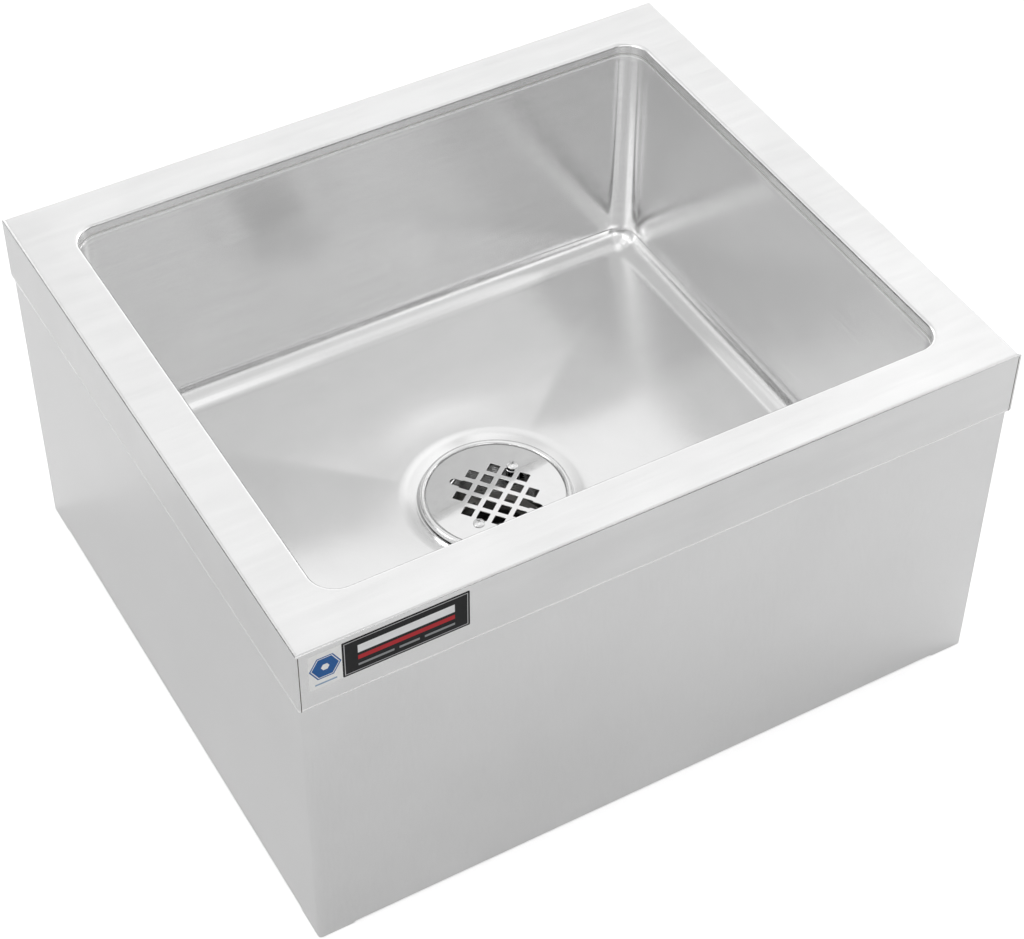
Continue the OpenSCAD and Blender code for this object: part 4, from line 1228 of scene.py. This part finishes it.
def screw_rows(d, low, high):
    """The outside of a pan-head screw between two heights: domed head, straight edge and threaded shank."""
    steps, radius, dome, under = 48, d.head_d / 2, 7 * MM, high - d.head_h

    def domed(r):
        return r, high - dome + math.sqrt(dome * dome - r * r)

    edge = domed(radius)[1]
    head = [domed(radius * t) for t in (0.02, 0.25, 0.5, 0.7, 0.85, 0.95)]
    head += [(radius - 0.1 * MM, edge + 0.05 * MM), (radius, edge - 0.12 * MM), (radius, under + 0.15 * MM),
             (radius - 0.15 * MM, under), (d.screw_d / 2, under)]
    shank = threaded_wall(d.screw_d / 2, low + 0.8 * MM, under - 0.6 * MM, 0.8 * MM, 0.35 * MM, steps)
    end = circle(d.screw_d / 2 - 0.6 * MM, low, steps)
    return [circle(r, z, steps) for r, z in head] + shank[::-1] + [end]


def cross_cutter(top):
    """A tapered cross that cuts a screw's recess."""
    bm = bmesh.new()
    for turn in (0, math.pi / 2):
        made = bmesh.ops.create_cube(bm, size=1.0)
        place = Matrix.Translation((0, 0, top)) @ Matrix.Rotation(turn, 4, "Z")
        bmesh.ops.transform(bm, verts=made["verts"],
                            matrix=place @ Matrix.Diagonal((4.4 * MM, 1.0 * MM, 3.0 * MM, 1)))
        for v in made["verts"]:
            if v.co.z < top:
                v.co.x *= 0.62
                v.co.y *= 0.62
    mesh = bpy.data.meshes.new("cross")
    bm.to_mesh(mesh)
    bm.free()
    return new_object("cross", mesh)


def close_ends(bm):
    bmesh.ops.holes_fill(bm, edges=[e for e in bm.edges if len(e.link_faces) == 1], sides=0)


def build_screws(d, finish):
    steel = polished_stainless("polished_stainless_screw", finish.polished, 0.12)
    for letter, a in (("a", d.turn), ("b", d.turn + math.pi)):
        node = f"strainer_screw_{letter}"
        low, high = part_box(node)
        obj = loft(f"pan_screw_{letter}", screw_rows(d, low.z, high.z), 0)
        edit_mesh(obj.data, close_ends)
        outward(obj)
        cutter = cross_cutter(high.z)
        cut = obj.modifiers.new("Cross recess", "BOOLEAN")
        cut.operation, cut.object, cut.solver, cut.use_self = "DIFFERENCE", cutter, "EXACT", True
        settle(obj)
        bpy.data.objects.remove(cutter)
        place = Matrix.Translation((d.screw_reach * math.cos(a), d.screw_reach * math.sin(a), 0))
        obj.data.transform(place @ Matrix.Rotation(a, 4, "Z"))
        soften(obj, sharp=36)
        finish_piece(obj, steel, f"screw_{letter}", "polished_steel", node)


# ---------------------------------------------------------------- stage


def towards(azimuth, height):
    """The direction at an azimuth from the front and a height angle, both in radians."""
    level = math.cos(height)
    return Vector((math.sin(azimuth) * level, -math.cos(azimuth) * level, math.sin(height)))


def build_camera(stage):
    camera = bpy.data.cameras.new("photo_camera")
    camera.sensor_width, camera.sensor_fit, camera.lens = SENSOR_WIDTH, "HORIZONTAL", stage.lens
    camera.clip_start, camera.clip_end = 0.05, 60.0
    camera.shift_x, camera.shift_y = (pixels / PHOTO_WIDTH for pixels in LENS_SHIFT)
    seat = new_object("photo_camera", camera)
    back = towards(stage.azimuth, stage.elevation)
    right = Vector((math.cos(stage.azimuth), math.sin(stage.azimuth), 0))
    turn = Matrix((right, back.cross(right), back)).transposed().to_4x4()
    seat.matrix_world = Matrix.Translation(stage.eye) @ turn @ Matrix.Rotation(stage.roll, 4, "Z")
    bpy.context.scene.camera = seat
    bpy.context.scene.view_settings.view_transform = "Standard"


def build_paper(stage):
    """Pale studio floor. It takes the object's shadow, and the camera sees it as white paper."""
    material, tree, coords = new_material("white_studio_paper")
    white = spread(tree, grain(tree, coords, 3 * MM), 0.9, 0.93)
    paper = add(tree, "ShaderNodeBsdfDiffuse", {"Color": white, "Roughness": 0.6})
    seen = add(tree, "ShaderNodeLightPath", output="Is Camera Ray")
    seen = add(tree, "ShaderNodeMath", (seen, stage.paper_glow), operation="MULTIPLY")
    glow = add(tree, "ShaderNodeEmission", {"Color": (1, 1, 1, 1), "Strength": seen})
    both = add(tree, "ShaderNodeAddShader", (paper, glow))
    add(tree, "ShaderNodeOutputMaterial", (both,), output=None)
    bpy.ops.mesh.primitive_plane_add(size=stage.paper, location=(0, 0, -0.02 * MM))
    floor = bpy.context.object
    floor.name = "studio_floor"
    floor.data.materials.append(material)


def build_world(stage):
    """White studio walls, brighter near the horizon, as the steel mirrors them; white to the camera."""
    world = bpy.data.worlds.new("white_studio")
    bpy.context.scene.world = world
    world.use_nodes = True
    tree = world.node_tree
    tree.nodes.clear()
    path = add(tree, "ShaderNodeLightPath", output=None).outputs
    rays = (path["Is Glossy Ray"], path["Is Transmission Ray"])
    mirrored = add(tree, "ShaderNodeMath", rays, operation="MAXIMUM")
    direction = add(tree, "ShaderNodeTexCoord", output="Generated")
    rise = add(tree, "ShaderNodeSeparateXYZ", (direction,), output=2)
    walls = add(tree, "ShaderNodeMapRange", (rise, *HORIZON, stage.studio * stage.horizon, stage.studio),
                interpolation_type="SMOOTHSTEP")
    lit = add(tree, "ShaderNodeMix", {0: mirrored, 2: stage.world, 3: walls}, data_type="FLOAT")
    strength = add(tree, "ShaderNodeMix", {0: path["Is Camera Ray"], 2: lit, 3: 1.0}, data_type="FLOAT")
    background = add(tree, "ShaderNodeBackground", {"Color": (1, 1, 1, 1), "Strength": strength})
    add(tree, "ShaderNodeOutputWorld", (background,), output=None)


def build_lamps(middle):
    """Soft boxes round the sink: azimuth and height angle in degrees, side in metres, glow."""
    for name, azimuth, height, side, glow in (
        ("soft_box_back_right", 150, 48, 2.0, 0.28),
        ("soft_box_right", 105, 48, 2.0, 0.2),
        ("soft_box_front_right", 60, 48, 2.0, 0.16),
        ("soft_box_back_left", 240, 48, 2.0, 0.2),
        ("soft_box_left", 285, 48, 2.0, 0.26),
        ("soft_box_overhead", 0, 90, 1.8, 0.4),
        ("low_box_right", 105, 20, 1.4, 4.5),
        ("low_box_back", 195, 20, 1.4, 1.4),
        ("low_box_left", 285, 20, 1.4, 1.2),
    ):
        direction = towards(math.radians(azimuth), math.radians(height))
        light = bpy.data.lights.new(name, "AREA")
        light.shape, light.size, light.energy = "SQUARE", side, glow * math.pi * side * side
        lamp = new_object(name, light)
        lamp.rotation_euler = direction.to_track_quat("Z", "Y").to_euler()
        lamp.location = middle + direction * LAMP_DISTANCE


def build_flags(middle):
    """Black flags beyond the left and front edges, which only the steel sees. They draw the dark lines along
    those folds."""
    black = bpy.data.materials.new("black_flag_cloth")
    black.use_nodes = True
    black.node_tree.nodes["Principled BSDF"].inputs["Base Color"].default_value = (0.01, 0.01, 0.01, 1)
    for name, azimuth, width in (("left", 236, 1.3), ("front", 22, 1.0)):
        direction = towards(math.radians(azimuth), math.radians(6))
        bpy.ops.mesh.primitive_plane_add(size=1, location=middle + direction * FLAG_DISTANCE)
        flag = bpy.context.object
        flag.name = name + "_black_flag"
        flag.scale = (width, 1.1, 1)
        flag.rotation_euler = direction.to_track_quat("Z", "Y").to_euler()
        flag.visible_camera = flag.visible_diffuse = flag.visible_shadow = False
        flag.data.materials.append(black)


def build_stage(stage):
    middle = Vector((0, 0, AIM_HEIGHT))
    build_camera(stage)
    build_paper(stage)
    build_world(stage)
    build_lamps(middle)
    build_flags(middle)


# ---------------------------------------------------------------- operators and panel


class SINK_OT_build_rim(bpy.types.Operator):
    """Folds the rim with its mouth, lip and aprons"""

    bl_idname = "sink.build_rim"
    bl_label = "Build rim"

    def execute(self, context):
        build_rim(context.scene.sink_sheet, context.scene.sink_finish)
        return {"FINISHED"}


class SINK_OT_build_bowl(bpy.types.Operator):
    """Forms the coved bowl with its creased floor and the dish round the drain"""

    bl_idname = "sink.build_bowl"
    bl_label = "Build bowl"

    def execute(self, context):
        scene = context.scene
        build_bowl(scene.sink_sheet, scene.sink_drain, scene.sink_finish)
        return {"FINISHED"}


class SINK_OT_build_skirt(bpy.types.Operator):
    """Bends the skirt and the back panel with their feet, and sets the gussets and damping pads"""

    bl_idname = "sink.build_skirt"
    bl_label = "Build skirt"

    def execute(self, context):
        scene = context.scene
        build_skirt(scene.sink_sheet, scene.sink_finish)
        build_underside(scene.sink_finish)
        return {"FINISHED"}


class SINK_OT_build_welds(bpy.types.Operator):
    """Lays the weld beads of the apron's corners and of the bowl's seam"""

    bl_idname = "sink.build_welds"
    bl_label = "Build welds"

    def execute(self, context):
        scene = context.scene
        build_corner_welds(scene.sink_sheet, scene.sink_finish)
        build_seam_weld(scene.sink_sheet, scene.sink_finish)
        return {"FINISHED"}


class SINK_OT_build_drain(bpy.types.Operator):
    """Makes the drain with its threads and lugs, its seals, rings and nuts"""

    bl_idname = "sink.build_drain"
    bl_label = "Build drain"

    def execute(self, context):
        scene = context.scene
        build_drain_body(scene.sink_drain, scene.sink_finish)
        build_drain_rings(scene.sink_drain, scene.sink_finish)
        return {"FINISHED"}


class SINK_OT_build_strainer(bpy.types.Operator):
    """Punches the strainer plate and makes its two screws"""

    bl_idname = "sink.build_strainer"
    bl_label = "Build strainer"

    def execute(self, context):
        scene = context.scene
        build_strainer(scene.sink_drain, scene.sink_finish)
        build_screws(scene.sink_drain, scene.sink_finish)
        return {"FINISHED"}


class SINK_OT_print_stickers(bpy.types.Operator):
    """Gives the two stickers on the apron their plain print"""

    bl_idname = "sink.print_stickers"
    bl_label = "Print stickers"

    def execute(self, context):
        for node, material in (("front_plate", plate_film()), ("front_tag", tag_film())):
            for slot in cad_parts[node].material_slots:
                slot.material = material
        return {"FINISHED"}


class SINK_OT_build_stage(bpy.types.Operator):
    """Sets the camera, the pale floor and the soft light"""

    bl_idname = "sink.build_stage"
    bl_label = "Build stage"

    def execute(self, context):
        build_stage(context.scene.sink_stage)
        return {"FINISHED"}


BUILDERS = (
    SINK_OT_build_stage,
    SINK_OT_build_rim,
    SINK_OT_build_bowl,
    SINK_OT_build_skirt,
    SINK_OT_build_welds,
    SINK_OT_build_drain,
    SINK_OT_build_strainer,
    SINK_OT_print_stickers,
)


class SINK_PT_panel(bpy.types.Panel):
    """Lists the sink's pieces and their settings"""

    bl_idname = "SINK_PT_panel"
    bl_label = "Service Sink"
    bl_space_type = "VIEW_3D"
    bl_region_type = "UI"
    bl_category = "Service Sink"

    def draw(self, context):
        layout = self.layout
        for builder in BUILDERS:
            layout.operator(builder.bl_idname)
        for label, group in (
            ("Sheet", context.scene.sink_sheet),
            ("Drain", context.scene.sink_drain),
            ("Finish", context.scene.sink_finish),
            ("Stage", context.scene.sink_stage),
        ):
            box = layout.box()
            box.label(text=label)
            for key in group.bl_rna.properties.keys():
                if key not in ("rna_type", "name"):
                    box.prop(group, key)


SETTINGS = (
    ("sink_sheet", SinkSheetSettings),
    ("sink_drain", SinkDrainSettings),
    ("sink_finish", SinkFinishSettings),
    ("sink_stage", SinkStageSettings),
)


def register():
    for _, group in SETTINGS:
        bpy.utils.register_class(group)
    for builder in BUILDERS:
        bpy.utils.register_class(builder)
    bpy.utils.register_class(SINK_PT_panel)
    for key, group in SETTINGS:
        setattr(bpy.types.Scene, key, PointerProperty(type=group))


def unregister():
    for key, _ in SETTINGS:
        delattr(bpy.types.Scene, key)
    bpy.utils.unregister_class(SINK_PT_panel)
    for builder in reversed(BUILDERS):
        bpy.utils.unregister_class(builder)
    for _, group in reversed(SETTINGS):
        bpy.utils.unregister_class(group)


def main():
    register()
    for builder in BUILDERS:
        family, name = builder.bl_idname.split(".")
        getattr(getattr(bpy.ops, family), name)()


if __name__ == "__main__":
    main()
